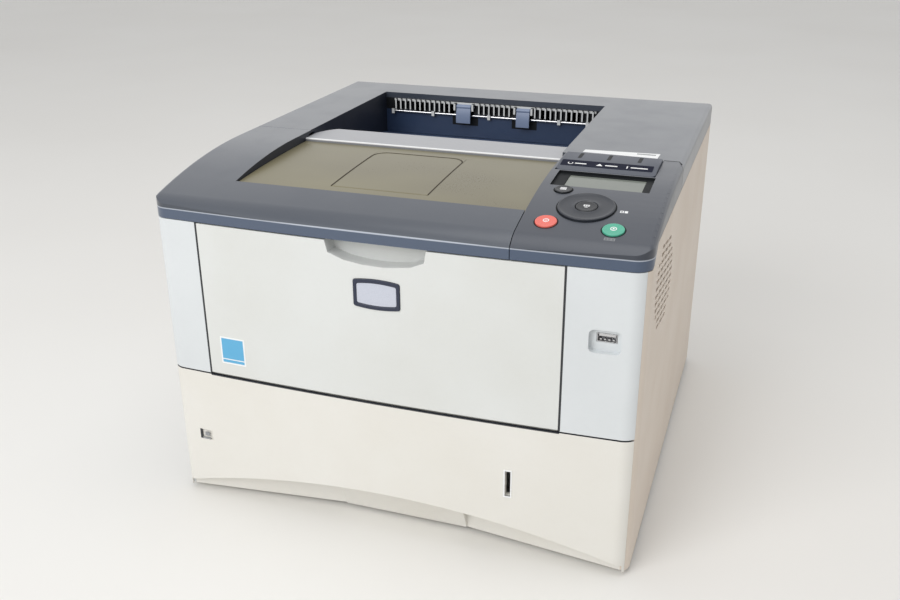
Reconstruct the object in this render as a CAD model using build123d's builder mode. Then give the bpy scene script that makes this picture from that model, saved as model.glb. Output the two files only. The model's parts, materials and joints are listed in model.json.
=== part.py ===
"""A compact A4 laser printer, built up from its separate pieces.

Millimetres. X runs to the right, Y to the back and Z up. The origin is on the table,
below the middle of the printer.
"""

import os
from math import asin, cos, degrees, pi, radians, sin, sqrt, tan

from build123d import *

os.makedirs("parts", exist_ok=True)

# Whole printer
width = 382.0
depth = 394.0
cassette_top_z = 118.7
engine_height = 129.3
cover_height = 32.5
wall = 2.5
badge_proud = 0.8
right_x = width / 2
left_x = -right_x
front_y = -(depth - badge_proud) / 2
back_y = front_y + depth
lip_z = cassette_top_z + engine_height
crown_z = lip_z + cover_height
front_bow = 5.0
front_corner = 13.0
back_corner = 5.0

# Curved top, seen from the side
crown_start_y = front_y + 139.1
crown_radius = 500.0
nose_y = front_y + 15.1
crease_z = lip_z + 7.8
crease_step = 0.6
shoulder_radius = 4.0
rear_bevel = 3.0

# Seams between the covers
lip_back_y = front_y + 13.6
lip_rise_y = front_y + 28.6
side_seam_z = lip_z + 14.0
skirt_z = 5.0
side_front_y = front_y + 9.3
cover_gap = 0.6
tray_gap = 1.1
fixed_gap = 0.3
slide_gap = 0.3
pin_gap = 0.05
tray_bottom_z = cassette_top_z + tray_gap

# Output well and top cover
well_left_x = left_x + 54.0
well_right_x = right_x - 98.3
panel_left_x = well_right_x + 2.8
well_back_y = back_y - 44.9
strip_seam_radius = 30.0
panel_seam_y = crown_start_y + 28.0
panel_seam_bend_x = right_x - 5.0
panel_seam_fall = 12.0
cover_hinge_y = well_back_y - 149.0
cover_hinge_z = crown_z - 13.0
crest_radius = 8.5
crest_front_y = cover_hinge_y - 38.7
cover_pin_radius = 3.0
insert_front_y = front_y + 41.1
insert_rear_z = crown_z - 6.9
insert_arc_radius = 1700.0
insert_skin = 3.0

# Front tray and its badge
tray_left_x = left_x + 39.3
tray_right_x = right_x - 56.8
tray_hinge_y = front_y + 6.3
tray_hinge_z = cassette_top_z + 6.8
tray_pin_radius = 2.0
tray_lug_radius = 3.6

# Cassette
frame_x = right_x - 21.0
bay_half = frame_x - 4.0
runner_depth = 6.0
ledge_depth = 9.5
runner_gap = 1.5
tub_half = bay_half - ledge_depth - runner_gap
tub_front_y = front_y + 30.6
tub_back_y = back_y - 47.4
tub_floor_z = 16.0
tub_rim_z = cassette_top_z - 36.7
runner_z = 30.0
arch_side_z = 10.0
arch_rise = 27.0
arch_half = right_x - 5.0

# Engine
frame_sheet = 2.0
deck_z = cassette_top_z + 3.3
deck_sheet = 2.5
frame_top_z = side_seam_z
shaft_reach = frame_x + 4.0
wall_inner = right_x - wall


def slab(x, y, z, mode=Mode.ADD):
    """Block between the low and high ends given for each direction."""
    with Locations(((x[0] + x[1]) / 2, (y[0] + y[1]) / 2, (z[0] + z[1]) / 2)):
        Box(x[1] - x[0], y[1] - y[0], z[1] - z[0], mode=mode)


def rod(x, y, z, radius, mode=Mode.ADD):
    """Round bar along X between two ends."""
    with Locations(Location(((x[0] + x[1]) / 2, y, z), (0, 90, 0))):
        Cylinder(radius, x[1] - x[0], mode=mode)


def post(x, y, z, radius, mode=Mode.ADD):
    """Round bar along Z between two heights."""
    with Locations((x, y, (z[0] + z[1]) / 2)):
        Cylinder(radius, z[1] - z[0], mode=mode)


def outline(points, plane):
    """Flat face with straight edges through the points."""
    with BuildSketch(plane) as face:
        with BuildLine():
            Polyline(*points, close=True)
        make_face()
    return face.sketch


def prism_x(points, x, mode=Mode.ADD):
    """Side view (y, z) drawn out along X."""
    extrude(outline(points, Plane.YZ.offset(x[0])), amount=x[1] - x[0], mode=mode)


def prism_y(points, y, mode=Mode.ADD):
    """Front view (x, z) drawn out along Y."""
    extrude(outline(points, Plane.XZ.offset(-y[1])), amount=y[1] - y[0], mode=mode)


def prism_z(points, z, mode=Mode.ADD):
    """Plan (x, y) drawn out along Z."""
    extrude(outline(points, Plane.XY.offset(z[0])), amount=z[1] - z[0], mode=mode)


def write(piece, label):
    """Name the finished piece and save it."""
    piece.part.label = label
    export_step(piece.part, f"parts/{label}.step")


def plan(inset, z=0.0):
    """Outline of the printer from above, drawn in by inset: bowed front, rounded corners."""
    side = width / 2 - inset
    corner_y = front_y + front_bow + inset
    with BuildSketch(Plane.XY.offset(z)) as face:
        with BuildLine():
            ThreePointArc((-side, corner_y), (0, front_y + inset), (side, corner_y))
            Polyline((side, corner_y), (side, back_y - inset), (-side, back_y - inset), (-side, corner_y))
        make_face()
        fillet(face.vertices().group_by(Axis.Y)[0], front_corner - inset)
        fillet(face.vertices().group_by(Axis.Y)[-1], max(back_corner - inset, 1.0))
    return face.sketch


def crown_drop(y, radius=crown_radius):
    """How far the curved top has fallen below its flat part."""
    return radius - sqrt(radius**2 - (y - crown_start_y) ** 2)


def casing(inset):
    """Outer form of the whole printer, drawn in by inset."""
    front = front_y + inset
    back = back_y - inset
    top = crown_z - inset
    radius = crown_radius - inset
    middle_y = (crown_start_y + nose_y) / 2
    nose_z = top - crown_drop(nose_y, radius)
    run = crown_start_y - nose_y
    crease = crease_z - inset
    with BuildPart() as form:
        with BuildSketch(Plane.YZ):
            with BuildLine():
                Polyline((front, 0), (back, 0), (back, top - rear_bevel), (back - rear_bevel, top))
                Line((back - rear_bevel, top), (crown_start_y, top))
                ThreePointArc(
                    (crown_start_y, top), (middle_y, top - crown_drop(middle_y, radius)), (nose_y, nose_z)
                )
                TangentArc(
                    (nose_y, nose_z), (front + crease_step, crease), tangent=(top - radius - nose_z, -run)
                )
                Polyline((front + crease_step, crease), (front, crease), (front, 0))
            make_face()
        extrude(amount=width / 2 - inset, both=True)
        upper = form.edges().filter_by(lambda e: e.center().Z > crease_z + 1)
        shoulders = upper.filter_by(lambda e: abs(e.center().X) > 0.9 * (width / 2 - inset))
        fillet(shoulders.filter_by(lambda e: e.center().Y < back - rear_bevel), shoulder_radius - inset)
        extrude(plan(inset, -wall), amount=crown_z + 2 * wall, mode=Mode.INTERSECT)
    return form.part


solid_casing = casing(0)
hollow = casing(wall)
shell = solid_casing - hollow

far = width
above = crown_z + wall
seam_line = [(-far, lip_z), (lip_back_y, lip_z), (lip_rise_y, side_seam_z), (far, side_seam_z)]
hood_zone = seam_line + [(far, above), (-far, above)]
below_seam = [(y, z - cover_gap) for y, z in seam_line]
body_zone = below_seam + [(far, 0), (-far, 0)]


def seam_disc(radius):
    """Circle round the cover hinge that parts the left strip, seen from the side."""
    with BuildSketch(Plane.YZ.offset(-far)) as disc:
        with Locations((cover_hinge_y, cover_hinge_z)):
            Circle(radius)
    return disc.sketch


# Top housing: rear rail, left strip and right block round the output well
housing_wall_z = (lip_z - 16.0, crown_z - wall / 2)
strip_wall_front_y = cover_hinge_y - 20.0
boss_radius = 6.5
boss_reach = 6.0
rail_lip_z = crown_z - 5.5
with BuildPart() as top_housing:
    add(shell)
    prism_x(hood_zone, (-far, far), Mode.INTERSECT)
    with BuildPart(mode=Mode.PRIVATE) as front_zone:
        slab((-far, far), (-far, cover_hinge_y), (lip_z - wall, above))
        extrude(seam_disc(strip_seam_radius), amount=2 * far, mode=Mode.SUBTRACT)
    with BuildPart(mode=Mode.PRIVATE) as left_front:
        add(front_zone)
        slab((-far, well_left_x), (-far, far), (lip_z - far, above), Mode.INTERSECT)
    add(left_front, mode=Mode.SUBTRACT)
    slab((well_left_x, well_right_x), (-far, well_back_y), (lip_z - wall, above), Mode.SUBTRACT)
    prism_z(
        [
            (well_right_x, -far),
            (well_right_x, panel_seam_y),
            (panel_seam_bend_x, panel_seam_y),
            (panel_seam_bend_x + 2 * panel_seam_fall, panel_seam_y - 5 * panel_seam_fall),
            (far, -far),
        ],
        (lip_z - wall, above),
        Mode.SUBTRACT,
    )
    slab((well_left_x - wall, well_left_x), (strip_wall_front_y, well_back_y + wall), housing_wall_z)
    slab((well_right_x, well_right_x + wall), (panel_seam_y, well_back_y + wall), housing_wall_z)
    slab((well_left_x, well_right_x), (well_back_y, well_back_y + wall), (rail_lip_z, crown_z - wall / 2))
    for side_x in ((well_left_x - boss_reach, well_left_x), (well_right_x, well_right_x + boss_reach)):
        rod(side_x, cover_hinge_y, cover_hinge_z, boss_radius)
        rod(side_x, cover_hinge_y, cover_hinge_z, cover_pin_radius + pin_gap, Mode.SUBTRACT)
write(top_housing, "top_housing")

# Top cover frame: left strip and front strip, with the walls that carry the insert
cover_right_x = panel_left_x - cover_gap
insert_left_x = well_left_x + cover_gap
shelf_z = lip_z + 9.0
shelf_width = 7.0
insert_seat_z = shelf_z + wall
rim_height = 9.0
strip_wall_rear_y = cover_hinge_y - strip_seam_radius - 2.0
with BuildPart() as top_cover:
    add(shell)
    prism_x(hood_zone, (-far, far), Mode.INTERSECT)
    slab((-far, cover_right_x), (-far, cover_hinge_y), (lip_z - wall, above), Mode.INTERSECT)
    extrude(seam_disc(strip_seam_radius + cover_gap), amount=2 * far, mode=Mode.SUBTRACT)
    slab((insert_left_x, far), (insert_front_y, far), (lip_z - wall, above), Mode.SUBTRACT)
    side_wall_y = (insert_front_y - wall, strip_wall_rear_y)
    slab((insert_left_x - wall, insert_left_x), side_wall_y, (shelf_z, crown_z - wall))
    front_wall_y = (insert_front_y - wall, insert_front_y)
    slab((insert_left_x, cover_right_x), front_wall_y, (shelf_z, insert_seat_z + rim_height))
    slab(
        (insert_left_x - wall, insert_left_x + shelf_width),
        (insert_front_y - wall, strip_wall_rear_y),
        (shelf_z, insert_seat_z),
    )
    slab(
        (insert_left_x, cover_right_x),
        (insert_front_y - wall, insert_front_y + shelf_width),
        (shelf_z, insert_seat_z),
    )
    add(solid_casing, mode=Mode.INTERSECT)
write(top_cover, "top_cover")


def insert_band(y, top, bottom, x, mode=Mode.ADD):
    """Slice of the insert between two depths below its curved surface."""
    rear_y = crest_front_y - fixed_gap
    middle = (y[0] + y[1]) / 2

    def height(at_y, below):
        radius = insert_arc_radius - below
        return insert_rear_z - insert_arc_radius + sqrt(radius**2 - (at_y - rear_y) ** 2)

    with BuildSketch(Plane.YZ.offset(x[0])) as face:
        with BuildLine():
            for below in (top, bottom):
                ThreePointArc(*[(at_y, height(at_y, below)) for at_y in (y[0], middle, y[1])])
            Line((y[0], height(y[0], top)), (y[0], height(y[0], bottom)))
            Line((y[1], height(y[1], top)), (y[1], height(y[1], bottom)))
        make_face()
    extrude(face.sketch, amount=x[1] - x[0], mode=mode)


# Beige insert of the top cover, with the pocket for the paper stopper
insert_x = (insert_left_x + fixed_gap, cover_right_x)
insert_y = (insert_front_y + fixed_gap, crest_front_y - fixed_gap)
well_mid_x = (well_left_x + well_right_x) / 2
stopper_x = (well_mid_x - 39.0, well_mid_x + 39.0)
stopper_y = (insert_front_y + 13.0, crest_front_y - 15.3)
stopper_thick = 3.0
stopper_gap = 0.7
stopper_corner = 12.0
pocket_depth = 5.0
pocket_floor = 2.0
stopper_pin_radius = 1.2
stopper_axis_y = stopper_y[0] + stopper_thick / 2
stopper_axis_z = (
    insert_rear_z
    - insert_arc_radius
    + sqrt((insert_arc_radius - stopper_thick / 2 - 0.1) ** 2 - (stopper_axis_y - insert_y[1]) ** 2)
)
rim = 2.5
with BuildPart() as tray_insert:
    rim_z = (insert_seat_z, insert_rear_z)
    slab((insert_x[0], insert_x[0] + rim), insert_y, rim_z)
    slab((insert_x[1] - rim, insert_x[1]), insert_y, rim_z)
    slab(insert_x, (insert_y[0], insert_y[0] + rim), rim_z)
    slab(insert_x, (insert_y[1] - rim, insert_y[1]), rim_z)
    insert_band(insert_y, insert_skin / 2, crown_z - shelf_z, insert_x, Mode.INTERSECT)
    insert_band(insert_y, 0, insert_skin, insert_x)
    insert_band(
        (stopper_y[0] - rim - stopper_gap, stopper_y[1] + rim + stopper_gap),
        insert_skin / 2,
        pocket_depth + pocket_floor,
        (stopper_x[0] - rim - 2.0, stopper_x[1] + rim + 2.0),
    )
    insert_band(
        (stopper_y[0] - stopper_gap, stopper_y[1] + stopper_gap),
        -insert_skin,
        pocket_depth,
        (stopper_x[0] - stopper_gap, stopper_x[1] + stopper_gap),
        Mode.SUBTRACT,
    )
    rod(
        (stopper_x[0] - rim - 0.5, stopper_x[1] + rim + 0.5),
        stopper_axis_y,
        stopper_axis_z,
        stopper_pin_radius + pin_gap,
        Mode.SUBTRACT,
    )
write(tray_insert, "tray_insert")

# Paper stopper: flap that stands up from the insert, on two short pins
with BuildPart() as paper_stopper:
    insert_band((stopper_axis_y, stopper_y[1]), 0.1, stopper_thick + 0.1, stopper_x)
    fillet(paper_stopper.edges().filter_by(Axis.Z).group_by(Axis.Y)[-1], stopper_corner)
    rod(stopper_x, stopper_axis_y, stopper_axis_z, stopper_thick / 2)
    rod((stopper_x[0] - rim, stopper_x[1] + rim), stopper_axis_y, stopper_axis_z, stopper_pin_radius)
write(paper_stopper, "paper_stopper")

# Crest: light band along the hinge of the top cover, with a pin at each end
crest_plate = 3.0
crest_top_z = cover_hinge_z + crest_radius
crest_x = (well_left_x + cover_gap, well_right_x - cover_gap)
crest_rear_y = cover_hinge_y + crest_radius
crest_end = 30.0
with BuildPart() as crest:
    slab(crest_x, (crest_front_y, cover_hinge_y), (crest_top_z - crest_plate, crest_top_z))
    slab(crest_x, (crest_front_y, crest_front_y + rim), (insert_seat_z, crest_top_z))
    rod(crest_x, cover_hinge_y, cover_hinge_z, crest_radius)
    with BuildSketch(Plane.XY.offset(cover_hinge_z + cover_pin_radius)):
        with BuildLine():
            ThreePointArc(
                (crest_x[0], crest_front_y + rim),
                (crest_x[0] + 0.3 * crest_end, crest_front_y + rim + 0.7 * (crest_rear_y - crest_front_y)),
                (crest_x[0] + crest_end, crest_rear_y + 0.1),
            )
            Polyline(
                (crest_x[0] + crest_end, crest_rear_y + 0.1),
                (crest_x[0] - rim, crest_rear_y + 0.1),
                (crest_x[0] - rim, crest_front_y + rim),
                (crest_x[0], crest_front_y + rim),
            )
        make_face()
    extrude(amount=crest_radius, mode=Mode.SUBTRACT)
    pin_x = (well_left_x - boss_reach + slide_gap, well_right_x + boss_reach - slide_gap)
    rod(pin_x, cover_hinge_y, cover_hinge_z, cover_pin_radius)
write(crest, "crest")

# Output tray floor, rising from the rear wall to the crest
floor_sheet = 2.5
floor_rear_z = crown_z - 44.5
floor_front_z = crown_z - 17.5
floor_shelf_z = cover_hinge_z - crest_radius - 0.7
floor_front_y = cover_hinge_y + 11.0
with BuildPart() as output_tray:
    prism_x(
        [
            (well_back_y + wall, floor_rear_z),
            (well_back_y + wall, floor_rear_z + floor_sheet),
            (floor_front_y, floor_front_z),
            (floor_front_y - 1.5, floor_shelf_z),
            (cover_hinge_y - 7.5, floor_shelf_z),
            (cover_hinge_y - 7.5, floor_shelf_z - floor_sheet),
            (floor_front_y + 0.5, floor_shelf_z - floor_sheet),
            (floor_front_y + 1.1, floor_front_z - 2.8),
        ],
        (well_left_x, well_right_x),
    )
write(output_tray, "output_tray")

# Rear wall of the output well: windows for the rollers and flaps, and a comb of ribs along its top
flap_x = (
    (well_left_x + 79.3, well_left_x + 94.4),
    (well_right_x - 87.3, well_right_x - 73.7),
)
flap_side_gap = 1.0
flap_axis_y = well_back_y - 3.9
flap_axis_z = rail_lip_z - 4.0
flap_pin_radius = 1.2
flap_hub_radius = 2.4
bracket_thick = 2.0
exit_x = (well_left_x + 37.0, well_left_x + 68.5, well_right_x - 57.7, well_right_x - 30.7)
exit_roller_width = 9.0
exit_axis = (well_back_y + 9.0, crown_z - 23.5)
exit_roller_radius = 5.0
exit_shaft_radius = 3.0
idler_radius = 5.5
idler_shaft_radius = 1.6
idler_axis = (exit_axis[0], exit_axis[1] + exit_roller_radius + idler_radius + 0.2)
guide_y = (well_back_y, well_back_y + wall)
rod_radius = 1.2
rod_y = well_back_y - rod_radius - 0.8
rod_z = exit_axis[1] + exit_roller_radius
rod_x = (well_left_x + 7.0, well_right_x - 13.7)
flap_middle_x = flap_x[0][1] + 0.3875 * (flap_x[1][0] - flap_x[0][1])
holder_x = (rod_x[0] + 2.0, well_left_x + 53.0, flap_middle_x, well_right_x - 44.2, rod_x[1] - 2.0)
ear_x = (exit_x[0] - 14.0, exit_x[3] + 12.0)
comb_x = (well_left_x + 10.0, well_right_x - 7.7)
comb_pitch = 5.3
comb_teeth = int((comb_x[1] - comb_x[0]) / comb_pitch)
comb_z = (rail_lip_z - 10.3, rail_lip_z - 0.1)
comb_bar_z = (rail_lip_z - 2.4, rail_lip_z - 0.1)
window_z = (exit_axis[1] + exit_roller_radius - 0.6, idler_axis[1] + idler_radius + 0.3)
flap_bottom_z = flap_axis_z - 16.0
flap_window_z = (flap_bottom_z - 2.0, rail_lip_z + 1.0)
ear_z = (flap_axis_z - 3.4, flap_axis_z + 3.4)
comb_reach = 5.0
tooth_thick = 1.4
with BuildPart() as exit_guide:
    slab((well_left_x, well_right_x), guide_y, (floor_rear_z + floor_sheet + 0.7, rail_lip_z))
    for low_x, high_x in flap_x:
        slab((low_x - flap_side_gap, high_x + flap_side_gap), guide_y, flap_window_z, Mode.SUBTRACT)
        for ear_low in (low_x - flap_side_gap - bracket_thick, high_x + flap_side_gap):
            slab((ear_low, ear_low + bracket_thick), (flap_axis_y - 3.0, guide_y[1]), ear_z)
    for at_x in exit_x:
        half_window = exit_roller_width / 2 + 2.0
        slab((at_x - half_window, at_x + half_window), guide_y, window_z, Mode.SUBTRACT)
    for at_x in holder_x:
        slab((at_x - 1.5, at_x + 1.5), (rod_y - rod_radius - 1.2, guide_y[0]), (rod_z - 2.6, rod_z + 2.6))
    for at_x in ear_x:
        ear_y = (guide_y[0], idler_axis[0] + 5.0)
        slab((at_x - 1.5, at_x + 1.5), ear_y, (idler_axis[1] - 4.0, idler_axis[1] + 4.0))
        rod((at_x - 2.0, at_x + 2.0), *idler_axis, idler_shaft_radius + pin_gap, Mode.SUBTRACT)
    comb_spots = [comb_x[0] + (tooth + 0.5) * comb_pitch for tooth in range(comb_teeth)]
    comb_spots = [x for x in comb_spots if all(x < low - 5 or x > high + 5 for low, high in flap_x)]
    with BuildSketch(Plane.XY.offset(comb_z[0])):
        with Locations(*[(x, guide_y[0] - comb_reach / 2) for x in comb_spots]):
            Rectangle(tooth_thick, comb_reach)
    extrude(amount=comb_z[1] - comb_z[0])
    slab(comb_x, (guide_y[0] - 1.8, guide_y[0]), comb_bar_z)
    rod(rod_x, rod_y, rod_z, rod_radius, Mode.SUBTRACT)
    for low_x, high_x in flap_x:
        reach = flap_side_gap + bracket_thick + 1.0
        bore = flap_pin_radius + pin_gap
        rod((low_x - reach, high_x + reach), flap_axis_y, flap_axis_z, bore, Mode.SUBTRACT)
write(exit_guide, "exit_guide")

# Steel discharge rod in front of the rear wall
with BuildPart() as static_rod:
    rod(rod_x, rod_y, rod_z, rod_radius)
write(static_rod, "static_rod")

# Hold-down flaps that rest on the paper as it comes out
flap_knee_z = flap_axis_z - 8.0
flap_nodes = ("paper_flap_left", "paper_flap_right")
for node, (low_x, high_x) in zip(flap_nodes, flap_x):
    with BuildPart() as paper_flap:
        rod((low_x, high_x), flap_axis_y, flap_axis_z, flap_hub_radius)
        prism_x(
            [
                (flap_axis_y - 1.8, flap_axis_z),
                (flap_axis_y - 4.2, flap_knee_z),
                (flap_axis_y - 4.2, flap_bottom_z),
                (flap_axis_y - 2.6, flap_bottom_z),
                (flap_axis_y - 2.6, flap_knee_z),
                (flap_axis_y + 0.6, flap_axis_z),
            ],
            (low_x, high_x),
        )
        reach = flap_side_gap + bracket_thick
        rod((low_x - reach, high_x + reach), flap_axis_y, flap_axis_z, flap_pin_radius)
    write(paper_flap, node)

# Exit rollers below the paper and the white idlers above it
with BuildPart() as exit_rollers:
    rod((-shaft_reach, shaft_reach), *exit_axis, exit_shaft_radius)
    for at_x in exit_x:
        rod((at_x - exit_roller_width / 2, at_x + exit_roller_width / 2), *exit_axis, exit_roller_radius)
write(exit_rollers, "exit_rollers")
with BuildPart() as idler_rollers:
    rod((ear_x[0] - 3.0, ear_x[1] + 3.0), *idler_axis, idler_shaft_radius)
    for at_x in exit_x:
        rod((at_x - exit_roller_width / 2, at_x + exit_roller_width / 2), *idler_axis, idler_radius)
write(idler_rollers, "idler_rollers")


def top_point(y):
    """Height of the outer top surface."""
    return crown_z - (crown_drop(y) if y < crown_start_y else 0.0)


def key_plane(x, y):
    """Plane on the top surface, square to it."""
    tilt = asin((min(y, crown_start_y) - crown_start_y) / crown_radius)
    return Plane(origin=(x, y, top_point(y)), x_dir=(1, 0, 0), z_dir=(0, sin(tilt), cos(tilt)))


def panel_block(x, y, low, high):
    """Block square to the panel where the display lies, between two depths from its surface."""
    middle = ((display_x[0] + display_x[1]) / 2, (display_y[0] + display_y[1]) / 2)
    with BuildPart() as block:
        with BuildSketch(key_plane(*middle).offset(low)):
            with Locations(((x[0] + x[1]) / 2 - middle[0], (y[0] + y[1]) / 2 - middle[1])):
                Rectangle(x[1] - x[0], y[1] - y[0])
        extrude(amount=high - low)
    return block.part


# Control panel housing, with its display recess and key holes
led_x = (panel_left_x + 2.5, right_x - 17.0)
led_y = (crown_start_y - 20.0, crown_start_y + 25.0)
led_top_z = crown_z + 2.5
led_slope = 19.0
led_sink = 4.6
led_corner = 4.0
display_x = (panel_left_x + 6.5, right_x - 16.0)
display_y = (led_y[0] - 33.5, led_y[0] - 1.8)
glass_x = (display_x[0] + 9.0, display_x[1] - 6.0)
glass_y = (display_y[0] + 2.0, display_y[1] - 2.6)
display_sink = 2.2
display_floor = 2.0
glass_sink = 0.5
glass_thick = 2.5
menu_key_at = (panel_left_x + 18.5, front_y + 78.1)
cursor_at = (panel_left_x + 40.8, front_y + 53.6)
cancel_at = (panel_left_x + 17.9, front_y + 28.6)
go_at = (panel_left_x + 65.1, front_y + 26.6)
small_key_radius = 7.7
menu_key_radius = 6.4
cursor_radius = 20.5
key_gap = 0.4
key_travel = 0.8
key_flange = 0.9
key_rise = 1.0
holes = [
    (menu_key_at, menu_key_radius),
    (cursor_at, cursor_radius),
    (cancel_at, small_key_radius),
    (go_at, small_key_radius),
]
panel_zone = [
    (panel_left_x, -far),
    (panel_left_x, panel_seam_y - fixed_gap),
    (panel_seam_bend_x - fixed_gap, panel_seam_y - fixed_gap),
    (panel_seam_bend_x - fixed_gap + 2 * panel_seam_fall, panel_seam_y - fixed_gap - 5 * panel_seam_fall),
    (far, -far),
]
with BuildPart() as control_panel:
    add(shell)
    prism_x(hood_zone, (-far, far), Mode.INTERSECT)
    prism_z(panel_zone, (0, above), Mode.INTERSECT)
    slab(
        (panel_left_x, panel_left_x + wall),
        (front_y + 2 * wall, panel_seam_y - fixed_gap),
        (lip_z + wall, crown_z - wall),
    )
    block_y = (display_y[0] + wall, display_y[1])
    add(panel_block(display_x, block_y, -display_sink - display_floor, -1.0))
    add(panel_block(display_x, display_y, -display_sink, wall), mode=Mode.SUBTRACT)
    add(panel_block(glass_x, glass_y, -2 * wall - display_sink, wall), mode=Mode.SUBTRACT)
    slab(
        (led_x[0] - fixed_gap, led_x[1] + fixed_gap),
        (led_y[0] - fixed_gap, led_y[1] + fixed_gap),
        (crown_z - led_sink - 0.4, above),
        Mode.SUBTRACT,
    )
    for (at_x, at_y), radius in holes:
        with BuildSketch(key_plane(at_x, at_y).offset(wall)):
            Circle(radius + key_gap)
        extrude(amount=-2.5 * wall, mode=Mode.SUBTRACT)
    add(solid_casing, mode=Mode.INTERSECT)
write(control_panel, "control_panel")

# Raised bar behind the display that carries the status lights
with BuildPart() as led_bar:
    prism_x(
        [
            (led_y[0], crown_z - led_sink),
            (led_y[0], crown_z - 0.2),
            (led_y[0] + led_slope, led_top_z),
            (led_y[1] - 2.0, led_top_z),
            (led_y[1], crown_z + 0.4),
            (led_y[1], crown_z - led_sink),
        ],
        led_x,
    )
    fillet(led_bar.edges().filter_by(Axis.Z), led_corner)
    slab(
        (led_x[0] + wall, led_x[1] - wall),
        (led_y[0] + wall, led_y[1] - wall),
        (crown_z - 2 * led_sink, crown_z - 1.0),
        Mode.SUBTRACT,
    )
write(led_bar, "led_bar")


def key(node, at, radius, flange_top, hole=0.0, hole_flange=0.0):
    """Round key on the curved panel, held from below by its flange."""
    surface = key_plane(*at)
    with BuildPart() as cap:
        with BuildSketch(surface.offset(flange_top)):
            Circle(radius)
            if hole:
                Circle(hole, mode=Mode.SUBTRACT)
        extrude(amount=key_rise - flange_top)
        if not hole:
            fillet(cap.faces().sort_by(Axis.Z)[-1].edges(), 0.5)
        with BuildSketch(surface.offset(flange_top)):
            Circle(radius + key_flange)
            if hole:
                Circle(hole_flange, mode=Mode.SUBTRACT)
        extrude(amount=-key_flange)
        if not hole:
            with BuildSketch(surface.offset(flange_top - key_flange)):
                Circle(1.5)
            extrude(amount=-key_plunger)
    write(cap, node)


key_plunger = 2.6
flange_depth = -wall - 0.2
ring_flange_depth = flange_depth - 0.5
key("menu_key", menu_key_at, menu_key_radius, flange_depth)
key("cancel_key", cancel_at, small_key_radius, flange_depth)
key("go_key", go_at, small_key_radius, flange_depth)
key("ok_key", cursor_at, small_key_radius, ring_flange_depth - key_travel - 0.2)
ring_bore = small_key_radius + key_gap
key("cursor_key", cursor_at, cursor_radius, ring_flange_depth, ring_bore, small_key_radius + 3.0)

# Display glass in its recess, on one board with the key switches
board_x = (panel_left_x + wall + 3.0, right_x - 15.0)
board_plane = key_plane(0.0, cursor_at[1] - 3.0)
board_half = 31.5
board_sheet = 1.6
panel_board_depth = 9.6
glass_gap = 0.2
glass_top = -display_sink - glass_sink
holder_top = -display_sink - display_floor - fixed_gap
with BuildPart() as display:
    pane_x = (glass_x[0] + glass_gap, glass_x[1] - glass_gap)
    pane_y = (glass_y[0] + glass_gap, glass_y[1] - glass_gap)
    add(panel_block(pane_x, pane_y, holder_top - 1.0, glass_top))
    holder_x = (glass_x[0] - 4.0, glass_x[1] + 4.0)
    holder_y = (glass_y[0] + 1.0, glass_y[1] - 1.0)
    add(panel_block(holder_x, holder_y, holder_top - glass_thick, holder_top))
    with BuildSketch(board_plane.offset(-panel_board_depth)):
        with Locations(((board_x[0] + board_x[1]) / 2, 0)):
            Rectangle(board_x[1] - board_x[0], 2 * board_half)
    extrude(amount=-board_sheet)
    post_x = (board_x[0] + 3.0, board_x[1] - 3.0)
    with BuildSketch(board_plane.offset(-panel_board_depth)):
        with Locations((post_x[0], board_half - 4), (post_x[1], board_half - 4), (post_x[1], 0)):
            Circle(2.0)
    extrude(amount=panel_board_depth)
    arm_x = (cursor_at[0] - 10.0, cursor_at[0] + 20.0)
    slab(arm_x, (menu_key_at[1] + 1.0, glass_y[0] + 6.0), (crown_z - 13.5, crown_z - 8.0))
    add(hollow, mode=Mode.INTERSECT)
write(display, "display")

# Left side cover, which also wraps round the front as a strip
wrap_x = frame_x - 6.0
flange_back_y = front_y + 20.6
flange_start = 4.7
with BuildPart() as left_cover:
    add(shell)
    prism_x(body_zone, (-far, 0), Mode.INTERSECT)
    slab((-far, 0), (-far, far), (skirt_z, crown_z), Mode.INTERSECT)
    slab((tray_left_x - tray_gap / 2, 1.0), (-far, 0), (0, crown_z), Mode.SUBTRACT)
    slab((-wrap_x, 1.0), (0, far), (0, crown_z), Mode.SUBTRACT)
    slab((-far, 1.0), (-far, side_front_y), (0, tray_bottom_z), Mode.SUBTRACT)
    slab(
        (tray_left_x - tray_gap / 2 - wall, tray_left_x - tray_gap / 2),
        (front_y + flange_start, flange_back_y),
        (tray_bottom_z, lip_z - cover_gap),
    )
    bracket_x = (tray_left_x - 2 * wall, tray_left_x)
    rod(bracket_x, tray_hinge_y, tray_hinge_z, tray_pin_radius + pin_gap, Mode.SUBTRACT)
    post_spots = ((front_y + 116.6, lip_z - 48.0), (back_y - 57.4, deck_z + 28.0), (front_y + 136.6, 50.0))
    for post_y, post_z in post_spots:
        slab((-wall_inner - 0.5, -frame_x - frame_sheet), (post_y, post_y + 4.0), (post_z, post_z + 8.0))
write(left_cover, "left_cover")

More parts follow.
